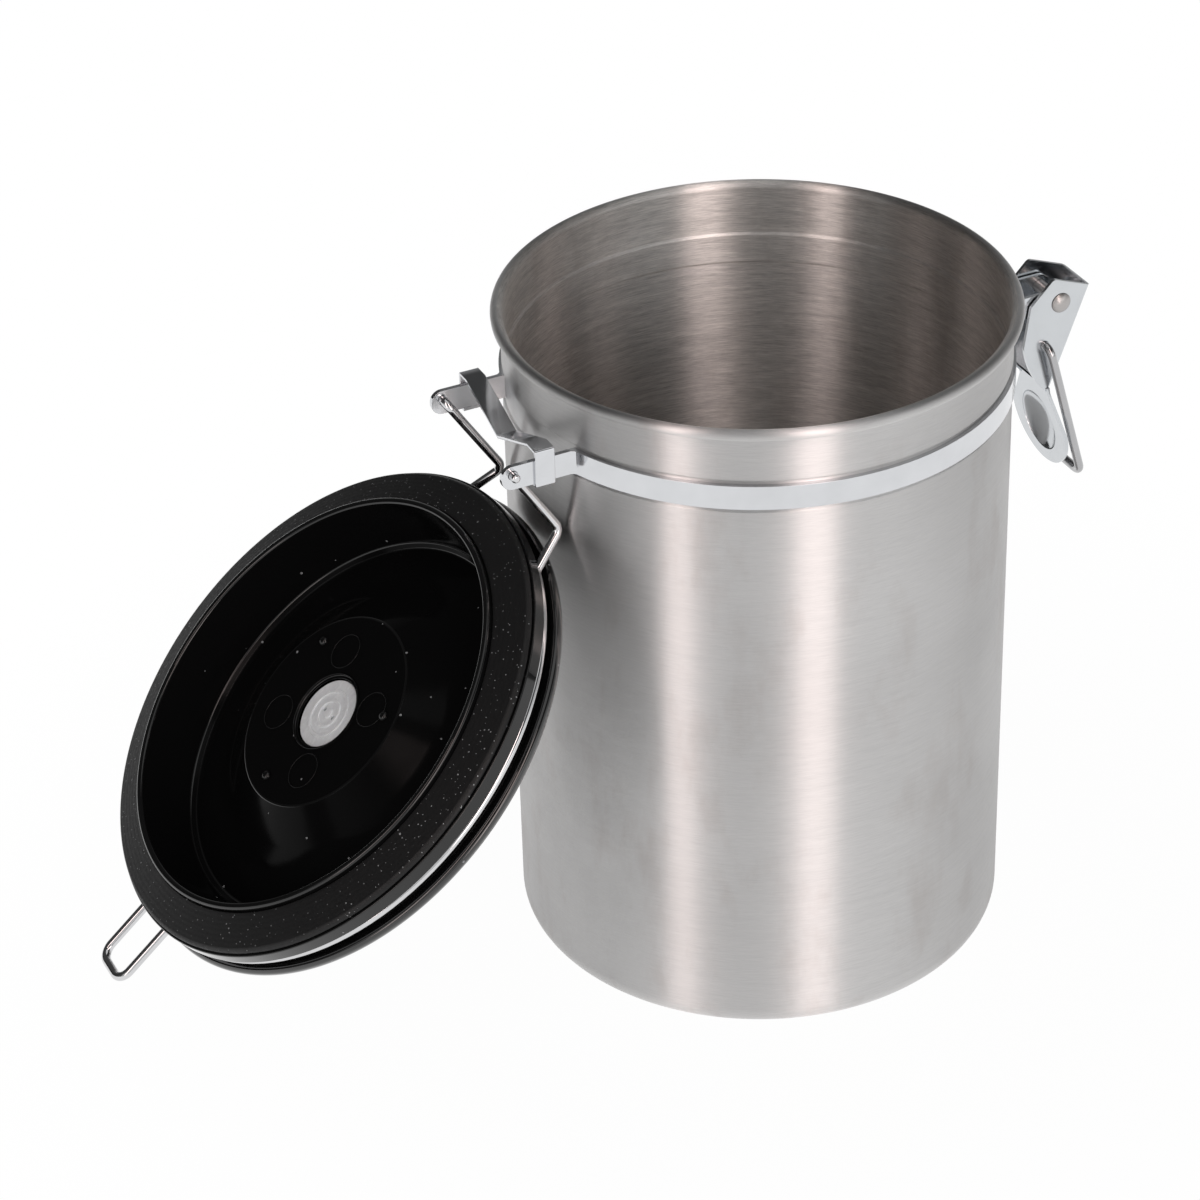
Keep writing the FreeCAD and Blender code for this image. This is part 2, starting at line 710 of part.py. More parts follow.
def lid_cover():
    """The crowned top: it closes the moulding, and its pins are staked through the central disc."""
    body = new_body("lid_cover")
    turn(body, "moulding", [
        ("skirt_radius - moulding_wall", "flange_back + seat_play"),
        ("skirt_radius", "flange_back + seat_play"),
        ("skirt_radius", "cover_low"),
        ("cover_radius - cover_round_low", "cover_low", "cover_round_low"),
        ("cover_radius", "cover_low + cover_round_low", "cover_round_top"),
        ("cover_radius - cover_round_top", "cover_edge", "cover_dome"),
        ("cap_radius + seat_play", "cover_top"),
        ("cap_radius + seat_play", "cap_seat"),
        ("vent_radius", "cap_seat"),
        ("vent_radius", "cap_seat - moulding_wall"),
        ("cap_radius + moulding_wall", "cap_seat - moulding_wall"),
        ("cap_radius + moulding_wall", "cover_top - moulding_wall", "moulding_wall - cover_dome"),
        ("skirt_radius - moulding_wall", "cover_edge"),
    ])
    tip = "-disc_depth - stake_proud"
    length = "cover_top - moulding_wall / 2 - (%s)" % tip
    pin = draw_circle(plane_sketch(body, "stake", "XY_Plane", tip), "stake_circle", "0", "stake_radius")
    stakes = ring_of(body, "stakes", pad(body, "stake_pin", pin, length), "stake_count")
    soften(body, "stake_domes", stakes, "stake_dome", lambda edge: at(edge.CenterOfMass.z, tip))
    return hang_on_lid(body)


def lid_gasket():
    """A rubber ring on the plug wall whose sloped face meets the rolled lip."""
    body = new_body("lid_gasket")
    edge_low = "-gasket_top - gasket_edge"
    ring = turn(body, "ring", [
        ("gasket_bore", "-gasket_depth"),
        ("gasket_radius", edge_low),
        ("gasket_radius", "-gasket_top"),
        ("gasket_bore", "-gasket_top"),
    ])
    soften(body, "edge_round", ring, "gasket_round", lambda edge: at(edge.BoundBox.XMax, "gasket_radius")
           and at(edge.CenterOfMass.z, edge_low))
    return hang_on_lid(body)


def fillet_path(points, radii):
    """Straight runs through points, joined by arcs tangent to them: a list of edges."""
    edges = []
    start = points[0]
    for before, corner, after, radius in zip(points, points[1:], points[2:], radii):
        towards = (before - corner).normalize()
        away = (after - corner).normalize()
        half = towards.getAngle(away) / 2
        cut = radius / math.tan(half)
        middle = (towards + away).normalize()
        first = corner + towards * cut
        last = corner + away * cut
        deepest = corner + middle * (radius / math.sin(half) - radius)
        edges.append(Part.LineSegment(start, first).toShape())
        edges.append(Part.Arc(first, deepest, last).toShape())
        start = last
    edges.append(Part.LineSegment(start, points[-1]).toShape())
    return edges


def lid_hoop():
    """One bent wire: hinge ends, legs, elbows, the ring in the lid's groove and the hook tongue."""
    vector = FreeCAD.Vector
    radius = value("hoop_radius")
    bend = value("wire_bend")
    half = value("bail_inset - tongue_inset")
    reach = -value("hinge_reach")
    drop = -value("hoop_rise")
    pivot_end = value("ear_outer + pivot_proud")
    elbow = vector(-value("body_radius + elbow_gap"), value("ear_spread - elbow_inset"), 0)
    arm_spread = value("ear_spread + arm_outset")
    aim = vector(-math.sqrt(radius ** 2 - arm_spread ** 2), arm_spread, 0)
    along = (aim - elbow).normalize()
    left = vector(-along.y, along.x, 0)
    # the bend that leads from the arm into the ring touches both, outside the ring
    base = elbow + left * bend
    run = -base.dot(along) - math.sqrt(base.dot(along) ** 2 - base.dot(base) + (radius + bend) ** 2)
    hub = base + along * run
    arm_end = hub - left * bend
    ring_start = hub * (radius / (radius + bend))
    arm_middle = hub + ((arm_end - hub) + (ring_start - hub)).normalize() * bend
    # the bend that leads from the ring out along the tongue
    front = vector(math.sqrt((radius + bend) ** 2 - (half + bend) ** 2), half + bend, 0)
    ring_end = front * (radius / (radius + bend))
    tongue_start = vector(front.x, half, 0)
    tongue_middle = front + ((ring_end - front) + (tongue_start - front)).normalize() * bend
    hinge_run = fillet_path([
        vector(reach, pivot_end, drop),
        vector(reach, value("ear_spread - leg_inset"), drop),
        elbow,
        arm_end,
    ], [bend, bend])
    ring_run = [
        Part.Arc(arm_end, arm_middle, ring_start).toShape(),
        Part.Arc(ring_start, vector(0, radius, 0), ring_end).toShape(),
        Part.Arc(ring_end, tongue_middle, tongue_start).toShape(),
    ]
    tongue_tip = value("body_radius + tongue_gap")
    tongue_run = fillet_path([
        tongue_start,
        vector(tongue_tip, half, 0),
        vector(tongue_tip, 0, 0),
    ], [value("tongue_corner")])
    one_side = hinge_run + ring_run + tongue_run
    other_side = [edge.mirror(vector(), ACROSS) for edge in reversed(one_side)]
    path = Part.Wire(Part.__sortEdges__(one_side + other_side))
    section = Part.Wire(Part.makeCircle(value("wire_radius"), vector(reach, pivot_end, drop), ACROSS))
    wire = path.makePipeShell([section], True, False)
    print("hoop wire length %.1f, section %.4f" % (path.Length, wire.Volume / path.Length))
    ends = [edge for edge in wire.Edges if at(abs(edge.CenterOfMass.y), "ear_outer + pivot_proud")]
    hoop = doc.addObject("Part::Feature", "lid_hoop")
    hoop.Label = "lid_hoop"
    hoop.Shape = wire.makeFillet(value("wire_dome"), ends)
    return hang_on_lid(hoop)


# Gas valve on the lid's axis


def valve_body():
    """The pale cup seen from inside: ringed face, gas ports and the seat of the rubber disc."""
    body = new_body("valve_body")
    face = "-valve_depth"
    proud = "-valve_depth - ring_height"
    turn(body, "cup", [
        ("0", proud),
        ("nub_radius", proud),
        ("nub_radius", face),
        ("ring_inner", face),
        ("ring_inner", proud),
        ("ring_inner + ring_width", proud),
        ("ring_inner + ring_width", face),
        ("ring_outer", face),
        ("ring_outer", proud),
        ("ring_outer + ring_width", proud),
        ("ring_outer + ring_width", face),
        ("valve_radius", face),
        ("valve_radius", "boss_top + seat_play"),
        ("valve_radius + valve_flange", "boss_top + seat_play"),
        ("valve_radius + valve_flange", "valve_top"),
        ("valve_inner", "valve_top"),
        ("valve_inner", "valve_floor"),
        ("ring_inner + ring_width", "valve_floor"),
        ("ring_inner + ring_width", "valve_floor + ring_height"),
        ("ring_inner", "valve_floor + ring_height"),
        ("ring_inner", "valve_floor"),
        ("0", "valve_floor"),
    ])
    port = draw_circle(plane_sketch(body, "port", "XY_Plane"), "0", "port_circle", "port_radius")
    ring_of(body, "ports", pocket(body, "port_cut", port), "port_count")
    return hang_on_lid(body)


def valve_disc():
    """The soft disc that lifts off its seat to let gas out."""
    body = new_body("valve_disc")
    turn(body, "disc", [
        ("0", "valve_seat"),
        ("disc_valve_radius", "valve_seat"),
        ("disc_valve_radius", "valve_seat + disc_valve_thickness"),
        ("0", "valve_seat + disc_valve_thickness"),
    ])
    return hang_on_lid(body)


def valve_cage():
    """The perforated plate that stops the disc at the top of its lift."""
    body = new_body("valve_cage")
    turn(body, "plate", [
        ("0", "cage_low"),
        ("valve_inner - seat_play", "cage_low"),
        ("valve_inner - seat_play", "cage_low + cage_thickness"),
        ("0", "cage_low + cage_thickness"),
    ])
    port = draw_circle(plane_sketch(body, "port", "XY_Plane"), "cage_circle", "0", "cage_port")
    ring_of(body, "ports", pocket(body, "port_cut", port), "cage_count")
    return hang_on_lid(body)


def valve_cap():
    """The vented button that closes the valve's well in the top of the lid."""
    body = new_body("valve_cap")
    turn(body, "button", [
        ("0", "cap_seat"),
        ("cap_radius", "cap_seat"),
        ("cap_radius", "cover_top - ring_height"),
        ("cap_radius - ring_height", "cover_top"),
        ("0", "cover_top + ring_height"),
    ])
    slot = draw_circle(plane_sketch(body, "vent", "XY_Plane"), "slot_circle", "0", "slot_radius")
    ring_of(body, "vents", pocket(body, "vent_cut", slot), "slot_count")
    return hang_on_lid(body)


PIECES = [
    canister_shell(),
    neck_band(),
    hinge_clip(),
    latch_bracket(),
    latch_rivet(),
    latch_lever(),
    latch_bail(),
    lid_base(),
    lid_cover(),
    lid_gasket(),
    lid_hoop(),
    valve_body(),
    valve_disc(),
    valve_cage(),
    valve_cap(),
]

doc.recompute()
for item in doc.Objects:
    if "Invalid" in item.State or "Error" in item.State:
        raise RuntimeError("%s failed: %s" % (item.Label, item.State))
for piece in PIECES:
    if piece.Shape.isNull() or not piece.Shape.isValid() or not piece.Shape.Solids:
        raise RuntimeError("%s has no valid solid" % piece.Label)

os.makedirs("parts", exist_ok=True)
for piece in PIECES:
    piece.Shape.exportStep(os.path.join("parts", piece.Label + ".step"))
    print("%-16s solids %d volume %.1f" % (piece.Label, len(piece.Shape.Solids), piece.Shape.Volume))
for word in ("hinge_reach", "pivot_height", "hoop_height", "lid_open_angle", "bail_across", "bail_height"):
    print("%-16s %.4f" % (word, value(word)))
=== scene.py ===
import json
import math

import bmesh
import bpy
from mathutils import Matrix, Vector


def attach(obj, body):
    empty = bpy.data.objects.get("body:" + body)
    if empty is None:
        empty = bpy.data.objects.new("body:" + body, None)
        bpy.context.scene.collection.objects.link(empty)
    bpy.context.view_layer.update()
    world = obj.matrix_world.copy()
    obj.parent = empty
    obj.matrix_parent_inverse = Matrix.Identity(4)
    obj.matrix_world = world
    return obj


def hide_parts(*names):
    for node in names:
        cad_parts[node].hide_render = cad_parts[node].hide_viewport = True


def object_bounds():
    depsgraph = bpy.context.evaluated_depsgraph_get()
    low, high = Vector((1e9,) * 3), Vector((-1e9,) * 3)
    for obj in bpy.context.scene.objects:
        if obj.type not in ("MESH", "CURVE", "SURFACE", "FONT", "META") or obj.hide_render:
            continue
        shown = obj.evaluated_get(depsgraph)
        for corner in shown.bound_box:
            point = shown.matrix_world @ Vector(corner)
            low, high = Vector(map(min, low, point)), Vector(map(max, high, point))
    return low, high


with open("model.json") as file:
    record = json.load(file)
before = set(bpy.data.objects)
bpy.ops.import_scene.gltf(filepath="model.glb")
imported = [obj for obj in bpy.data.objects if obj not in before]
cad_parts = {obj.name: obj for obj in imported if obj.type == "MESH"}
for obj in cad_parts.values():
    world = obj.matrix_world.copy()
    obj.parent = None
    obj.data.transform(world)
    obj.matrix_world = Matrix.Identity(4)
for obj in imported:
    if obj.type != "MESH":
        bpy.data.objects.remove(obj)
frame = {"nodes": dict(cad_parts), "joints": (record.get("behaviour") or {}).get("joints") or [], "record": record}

bl_info = {
    "name": "Clamp Lid Coffee Canister",
    "version": (1, 0, 0),
    "blender": (4, 5, 0),
    "location": "View3D > Sidebar > Canister",
    "description": "Dresses a steel coffee canister with its wire clamp lid, latch and gas valve",
    "category": "Object",
}

MM = 0.001
CAD_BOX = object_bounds()
JOINTS = {joint["name"]: joint for joint in frame["joints"]}

# The lid's own coordinates are those of the closed lid: its axis is then the canister's axis
LID_PIVOT = Vector(JOINTS["lid_hinge"]["pos_m"])
LID_UP = Vector(JOINTS["valve_lift"]["axis"])
LID_SWING = math.atan2(-LID_UP.x, LID_UP.z)
LID_OPEN = (Matrix.Translation(LID_PIVOT) @ Matrix.Rotation(-LID_SWING, 4, "Y")
            @ Matrix.Translation(-LID_PIVOT))
LID_CLOSED = LID_OPEN.inverted()


class CanisterSizes(bpy.types.PropertyGroup):
    """Fine shapes that the dressing adds to the CAD"""
    sheet_edge: bpy.props.FloatProperty(
        name="Sheet edge", description="Round of a stamped sheet edge", default=0.16 * MM, unit="LENGTH")
    moulded_edge: bpy.props.FloatProperty(
        name="Moulded edge", description="Round of a moulded plastic edge", default=0.3 * MM, unit="LENGTH")
    rubber_edge: bpy.props.FloatProperty(
        name="Rubber edge", description="Round of the gasket's edges", default=0.5 * MM, unit="LENGTH")
    valve_edge: bpy.props.FloatProperty(
        name="Valve edge", description="Round of the valve's rings", default=0.12 * MM, unit="LENGTH")
    mark_radius: bpy.props.FloatProperty(
        name="Pin mark", description="Radius of a moulding pin's mark under the lid", default=4.4 * MM,
        unit="LENGTH")
    mark_circle: bpy.props.FloatProperty(
        name="Pin mark circle", description="Radius of the circle of marks round the valve",
        default=15.6 * MM, unit="LENGTH")
    mark_turn: bpy.props.FloatProperty(
        name="Pin mark turn", description="Where the first mark stands, from the tongue",
        default=math.radians(55), subtype="ANGLE")
    mark_count: bpy.props.IntProperty(
        name="Pin marks", description="Marks round the valve", default=4, min=1)
    tab_lean: bpy.props.FloatProperty(
        name="Tab lean", description="Lean of the lever's thumb tab", default=math.radians(10.7),
        subtype="ANGLE")
    hollow_centre: bpy.props.FloatVectorProperty(
        name="Hollow centre", description="Middle of the back of the tab's hollow",
        default=(81.1 * MM, 0.0, 115.17 * MM), subtype="XYZ", unit="LENGTH")
    hollow_length: bpy.props.FloatProperty(
        name="Hollow length", description="Hollow along the tab", default=16.4 * MM, unit="LENGTH")
    hollow_width: bpy.props.FloatProperty(
        name="Hollow width", description="Hollow across the tab", default=15.0 * MM, unit="LENGTH")
    hollow_reach: bpy.props.FloatProperty(
        name="Hollow reach", description="Depth about the hollow within which all metal is the tab's",
        default=4.0 * MM, unit="LENGTH")
    hollow_extra: bpy.props.FloatProperty(
        name="Hollow extra", description="Depth added to the CAD hollow", default=1.9 * MM, unit="LENGTH")
    flash_radius: bpy.props.FloatProperty(
        name="Flash", description="Radius of the thin flash line round a mark", default=0.07 * MM,
        unit="LENGTH")
    stake_facet: bpy.props.FloatProperty(
        name="Stake facet", description="Longest side of a facet on a staked pin", default=2.6 * MM,
        unit="LENGTH")


class CanisterColours(bpy.types.PropertyGroup):
    """Colours of the finishes and of the strip lamps"""
    steel: bpy.props.FloatVectorProperty(
        name="Brushed steel", description="Body steel", subtype="COLOR", default=(0.68, 0.672, 0.668))
    chrome: bpy.props.FloatVectorProperty(
        name="Wire", description="Plated wires", subtype="COLOR", default=(0.66, 0.66, 0.67))
    band: bpy.props.FloatVectorProperty(
        name="Band", description="Neck band and hinge clip", subtype="COLOR", default=(0.68, 0.69, 0.71))
    sheet: bpy.props.FloatVectorProperty(
        name="Latch sheet", description="Pressed latch sheet", subtype="COLOR", default=(0.62, 0.64, 0.66))
    rivet: bpy.props.FloatVectorProperty(
        name="Rivet", description="Dull rivet heads of the latch", subtype="COLOR",
        default=(0.46, 0.44, 0.43))
    # Painted light: a lighter, warmer copy of the body steel for the inside walls, standing in for the light they
    # reflect onto each other
    inside: bpy.props.FloatVectorProperty(
        name="Painted inside tone", description="Painted lighter, warmer tone for the light inside the body", subtype="COLOR",
        default=(0.77, 0.745, 0.72))
    stain: bpy.props.FloatVectorProperty(
        name="Stain", description="Smears on the body steel", subtype="COLOR", default=(0.42, 0.36, 0.33))
    lamp: bpy.props.FloatVectorProperty(
        name="Strip light", description="Colour of the strip lamps", subtype="COLOR",
        default=(1.0, 0.84, 0.80))
    plastic: bpy.props.FloatVectorProperty(
        name="Black plastic", description="Lid mouldings", subtype="COLOR", default=(0.0042, 0.0045, 0.0047))
    rubber: bpy.props.FloatVectorProperty(
        name="Gasket", description="Gasket rubber", subtype="COLOR", default=(0.0088, 0.0095, 0.0100))
    dust: bpy.props.FloatVectorProperty(
        name="Dust", description="Lint on black pieces", subtype="COLOR", default=(0.36, 0.39, 0.405))
    valve: bpy.props.FloatVectorProperty(
        name="Valve", description="Milky valve plastic", subtype="COLOR", default=(0.84, 0.90, 0.93))
    silicone: bpy.props.FloatVectorProperty(
        name="Valve disc", description="Soft disc in the valve", subtype="COLOR", default=(0.58, 0.58, 0.56))


class CanisterStudio(bpy.types.PropertyGroup):
    """Brightness of the studio and its floor"""
    floor: bpy.props.FloatVectorProperty(
        name="Floor", description="Pale floor", subtype="COLOR", default=(0.7, 0.7, 0.7))
    floor_glow: bpy.props.FloatProperty(
        name="Floor white", description="Share of plain white that the camera sees in the floor",
        default=0.98, min=0, max=1, subtype="FACTOR")
    strip_power: bpy.props.FloatProperty(
        name="Strip lamp", description="Power of the left strip lamp", default=4.45, unit="POWER")
    right_share: bpy.props.FloatProperty(
        name="Right strip", description="Power of the right strip lamp against the left one's", default=1.38,
        min=0)
    top_power: bpy.props.FloatProperty(
        name="Top lamp", description="Power of the soft lamp overhead", default=3.0, unit="POWER")
    walls: bpy.props.FloatProperty(
        name="Studio walls", description="Brightness of the studio's walls", default=1.0, min=0)
    ceiling: bpy.props.FloatProperty(
        name="Ceiling", description="Brightness of the studio's ceiling", default=0.06, min=0)
    skirting: bpy.props.FloatProperty(
        name="Skirting", description="Share of the walls' light that is left near the floor", default=0.2,
        min=0)
    floor_reach: bpy.props.FloatProperty(
        name="Floor reach", description="From the canister to each side of the floor", default=30.0,
        unit="LENGTH")


# Node helpers


# Places of a Mix node's colour sockets, whose names other sockets of that node have too
MIX_COLOURS = 6, 7
MIX_RESULT = 2


def add(tree, kind, inputs=None, **settings):
    """A node with its settings, and each input given a value or a link from a socket."""
    item = tree.nodes.new(kind)
    for name, setting in settings.items():
        setattr(item, name, setting)
    for name, given in (inputs or {}).items():
        if isinstance(given, bpy.types.NodeSocket):
            tree.links.new(given, item.inputs[name])
        else:
            item.inputs[name].default_value = given
    return item


def math_node(tree, operation, first, second=0.0):
    """The result of one operation on values or sockets."""
    return add(tree, "ShaderNodeMath", {0: first, 1: second}, operation=operation).outputs[0]


def stretched(tree, vector, shares):
    """A vector with each part multiplied by its own share."""
    return add(tree, "ShaderNodeVectorMath", {0: vector, 1: shares}, operation="MULTIPLY").outputs[0]


def length_of(tree, vector):
    """The length of a vector."""
    return add(tree, "ShaderNodeVectorMath", {0: vector}, operation="LENGTH").outputs["Value"]


def span(tree, given, low, high, to_low=0.0, to_high=1.0):
    """A value moved from one span to another, held at its ends."""
    return add(tree, "ShaderNodeMapRange", {
        "Value": given, "From Min": low, "From Max": high, "To Min": to_low, "To Max": to_high}).outputs[0]


def blend_colour(tree, amount, first, second):
    """A mix of two colours or colour sockets."""
    mix = add(tree, "ShaderNodeMix", {"Factor": amount}, data_type="RGBA")
    for place, given in zip(MIX_COLOURS, (first, second)):
        if isinstance(given, bpy.types.NodeSocket):
            tree.links.new(given, mix.inputs[place])
        else:
            mix.inputs[place].default_value = (*given, 1)
    return mix.outputs[MIX_RESULT]


def noise(tree, vector, scale, detail=4.0, rough=0.55):
    """A cloudy value between 0 and 1."""
    return add(tree, "ShaderNodeTexNoise", {
        "Vector": vector, "Scale": scale, "Detail": detail, "Roughness": rough}).outputs["Fac"]


def new_group(name, inputs, outputs):
    """An empty shader group with named sockets: its tree, its inputs and its output node."""
    tree = bpy.data.node_groups.new(name, "ShaderNodeTree")
    for word, kind, default in inputs:
        socket = tree.interface.new_socket(word, in_out="INPUT", socket_type=kind)
        if default is not None:
            socket.default_value = default
    for word in outputs:
        tree.interface.new_socket(word, in_out="OUTPUT", socket_type="NodeSocketFloat")
    return tree, tree.nodes.new("NodeGroupInput").outputs, tree.nodes.new("NodeGroupOutput")


def brush_lines_group():
    """Fine parallel lines: long along X and Y, close together along Z."""
    tree, given, out = new_group("Brush lines", [
        ("Vector", "NodeSocketVector", None),
        ("Length", "NodeSocketFloat", 260.0),
        ("Lines", "NodeSocketFloat", 5200.0),
    ], ["Lines", "Scuffs"])
    shares = add(tree, "ShaderNodeCombineXYZ", {
        "X": given["Length"], "Y": given["Length"], "Z": given["Lines"]})
    fine = stretched(tree, given["Vector"], shares.outputs[0])
    short = stretched(tree, fine, (2.6, 2.6, 0.42))
    long = stretched(tree, fine, (0.3, 0.3, 0.16))
    lines = noise(tree, fine, scale=1.0, detail=3.0, rough=0.7)
    dashes = noise(tree, short, scale=1.0, detail=2.0, rough=0.5)
    bands = noise(tree, long, scale=1.0, detail=2.0, rough=0.5)
    lines = math_node(tree, "MULTIPLY", lines, 0.7)
    bands = math_node(tree, "MULTIPLY", bands, 0.3)
    tree.links.new(math_node(tree, "ADD", lines, bands), out.inputs["Lines"])
    tree.links.new(span(tree, dashes, 0.62, 0.78), out.inputs["Scuffs"])
    return tree


def specks_group():
    """Scattered dots of lint and dust."""
    tree, given, out = new_group("Dust specks", [
        ("Vector", "NodeSocketVector", None),
        ("Scale", "NodeSocketFloat", 900.0),
        ("Amount", "NodeSocketFloat", 0.1),
        ("Size", "NodeSocketFloat", 0.22),
    ], ["Mask"])
    cells = add(tree, "ShaderNodeTexVoronoi", {"Vector": given["Vector"], "Scale": given["Scale"]})
    chance = add(tree, "ShaderNodeSeparateColor", {"Color": cells.outputs["Color"]})
    kept = math_node(tree, "LESS_THAN", chance.outputs[0], given["Amount"])
    size = math_node(tree, "MULTIPLY", chance.outputs[1], given["Size"])
    dot = math_node(tree, "LESS_THAN", cells.outputs["Distance"], size)
    tree.links.new(math_node(tree, "MULTIPLY", kept, dot), out.inputs["Mask"])
    return tree


def handling_group():
    """Cloudy marks that hands and cloths leave."""
    tree, given, out = new_group("Handling marks", [
        ("Vector", "NodeSocketVector", None),
        ("Scale", "NodeSocketFloat", 26.0),
    ], ["Clouds", "Smears"])
    clouds = noise(tree, given["Vector"], given["Scale"], detail=5.0, rough=0.6)
    long = stretched(tree, given["Vector"], (1.0, 1.6, 0.5))
    finer = math_node(tree, "MULTIPLY", given["Scale"], 2.7)
    smears = noise(tree, long, finer, detail=6.0, rough=0.65)
    tree.links.new(span(tree, clouds, 0.4, 0.72), out.inputs["Clouds"])
    tree.links.new(span(tree, smears, 0.52, 0.72), out.inputs["Smears"])
    return tree


GROUP_MAKERS = {
    "Brush lines": brush_lines_group,
    "Dust specks": specks_group,
    "Handling marks": handling_group,
}


def place_group(tree, name, inputs):
    """A shared group in a material, built the first time that it is needed."""
    group = bpy.data.node_groups.get(name) or GROUP_MAKERS[name]()
    return add(tree, "ShaderNodeGroup", inputs, node_tree=group).outputs


def new_material(name):
    """An empty material with its Principled shader, and the piece's own coordinates."""
    material = bpy.data.materials.new(name)
    material.use_nodes = True
    tree = material.node_tree
    tree.nodes.clear()
    shader = add(tree, "ShaderNodeBsdfPrincipled")
    add(tree, "ShaderNodeOutputMaterial", {"Surface": shader.outputs[0]})
    return material, tree, shader, add(tree, "ShaderNodeTexCoord").outputs["Object"]


def bump(tree, shader, height, strength, distance):
    """Relief in a shader's normal."""
    relief = add(tree, "ShaderNodeBump", {"Height": height, "Strength": strength, "Distance": distance})
    tree.links.new(relief.outputs[0], shader.inputs["Normal"])


def closed_coordinates(tree, coordinates):
    """Object coordinates of a piece of the lid, turned to where they are on the closed lid."""
    turned = add(tree, "ShaderNodeMapping", {"Vector": coordinates}, vector_type="POINT")
    turned.inputs["Rotation"].default_value = LID_CLOSED.to_euler()
    turned.inputs["Location"].default_value = LID_CLOSED.to_translation()
    return turned.outputs[0]


def reach_from_axis(tree, coordinates):
    """How far a piece of the lid is from the lid's axis."""
    flat = stretched(tree, closed_coordinates(tree, coordinates), (1.0, 1.0, 0.0))
    return length_of(tree, flat)


# Finishes


# Reach from the lid's axis past which its mouldings have a brighter skin
RIM_SKIN = 55.5 * MM
# Shade of the bail against the other wires
BAIL_SHADE = 0.72
# Phase of the gasket's mould rings per metre of reach
RING_PHASE = 5200.0


def brushed_steel(colours):
    """Satin body steel: lines run round the body, with cloudy marks from handling; inside, a painted lighter tone
    stands in for reflected light.
    """
    material, tree, shader, coordinates = new_material("brushed_steel")
    brush = place_group(tree, "Brush lines", {"Vector": coordinates})
    marks = place_group(tree, "Handling marks", {"Vector": coordinates, "Scale": 22.0})
    # Painted light: inward faces take the inside colour, a tone that stands in for reflected light; the grain is
    # deeper there too
    inside = add(tree, "ShaderNodeAttribute", attribute_name="inside").outputs["Fac"]
    steel = blend_colour(tree, inside, tuple(colours.steel), tuple(colours.inside))
    depth = span(tree, inside, 0.0, 1.0, 0.5, 1.6)
    grain = math_node(tree, "MULTIPLY", math_node(tree, "SUBTRACT", brush["Lines"], 0.5), depth)
    grain = math_node(tree, "ADD", grain, 1.0)
    tone = add(tree, "ShaderNodeVectorMath", {0: steel, "Scale": grain}, operation="SCALE").outputs[0]
    stain = math_node(tree, "MULTIPLY", marks["Smears"], 0.26)
    tone = blend_colour(tree, stain, tone, tuple(colours.stain))
    tree.links.new(tone, shader.inputs["Base Color"])
    gloss = span(tree, brush["Lines"], 0.3, 0.7, 0.36, 0.44)
    gloss = math_node(tree, "ADD", gloss, math_node(tree, "MULTIPLY", marks["Clouds"], 0.04))
    tree.links.new(gloss, shader.inputs["Roughness"])
    shader.inputs["Metallic"].default_value = 1.0
    shader.inputs["Anisotropic"].default_value = 1.0
    shader.inputs["Anisotropic Rotation"].default_value = 0.25
    tangent = add(tree, "ShaderNodeTangent", direction_type="RADIAL", axis="Z")
    tree.links.new(tangent.outputs[0], shader.inputs["Tangent"])
    height = math_node(tree, "SUBTRACT", brush["Lines"], math_node(tree, "MULTIPLY", brush["Scuffs"], 0.4))
    bump(tree, shader, height, strength=0.06, distance=0.05 * MM)
    return material


def bright_steel(name, colour, gloss, waviness):
    """Plated sheet or wire: bright, with a faint drawn texture and wiped marks."""
    material, tree, shader, coordinates = new_material(name)
    marks = place_group(tree, "Handling marks", {"Vector": coordinates, "Scale": 90.0})
    dull = [0.93 * part for part in colour]
    tree.links.new(blend_colour(tree, marks["Clouds"], tuple(colour), dull), shader.inputs["Base Color"])
    rough = math_node(tree, "ADD", gloss, math_node(tree, "MULTIPLY", marks["Smears"], 0.07))
    tree.links.new(rough, shader.inputs["Roughness"])
    shader.inputs["Metallic"].default_value = 1.0
    bump(tree, shader, noise(tree, coordinates, scale=260.0, detail=3.0), strength=0.25, distance=waviness)
    return material


def black_plastic(name, colours, bend):
    """Gloss moulding: flow waves, wiped haze and a little lint, brighter on its edges and the lid's rim."""
    material, tree, shader, coordinates = new_material(name)
    reach = reach_from_axis(tree, coordinates)
    worn = add(tree, "ShaderNodeAttribute", attribute_name="edge").outputs["Fac"]
    skin = math_node(tree, "MAXIMUM", math_node(tree, "GREATER_THAN", reach, RIM_SKIN), worn)
    tree.links.new(skin, shader.inputs["Coat Weight"])
    specks = place_group(tree, "Dust specks", {
        "Vector": coordinates, "Scale": 520.0, "Amount": 0.05, "Size": 0.2})
    marks = place_group(tree, "Handling marks", {"Vector": coordinates, "Scale": 30.0})
    lint = math_node(tree, "MULTIPLY", specks["Mask"], 0.7)
    tone = blend_colour(tree, lint, tuple(colours.plastic), tuple(colours.dust))
    tree.links.new(tone, shader.inputs["Base Color"])
    rough = span(tree, marks["Clouds"], 0.0, 1.0, 0.09, 0.2)
    rough = math_node(tree, "ADD", rough, math_node(tree, "MULTIPLY", specks["Mask"], 0.5))
    tree.links.new(rough, shader.inputs["Roughness"])
    shader.inputs["IOR"].default_value = bend
    bump(tree, shader, noise(tree, coordinates, scale=75.0, detail=2.0), strength=0.2, distance=0.25 * MM)
    return material


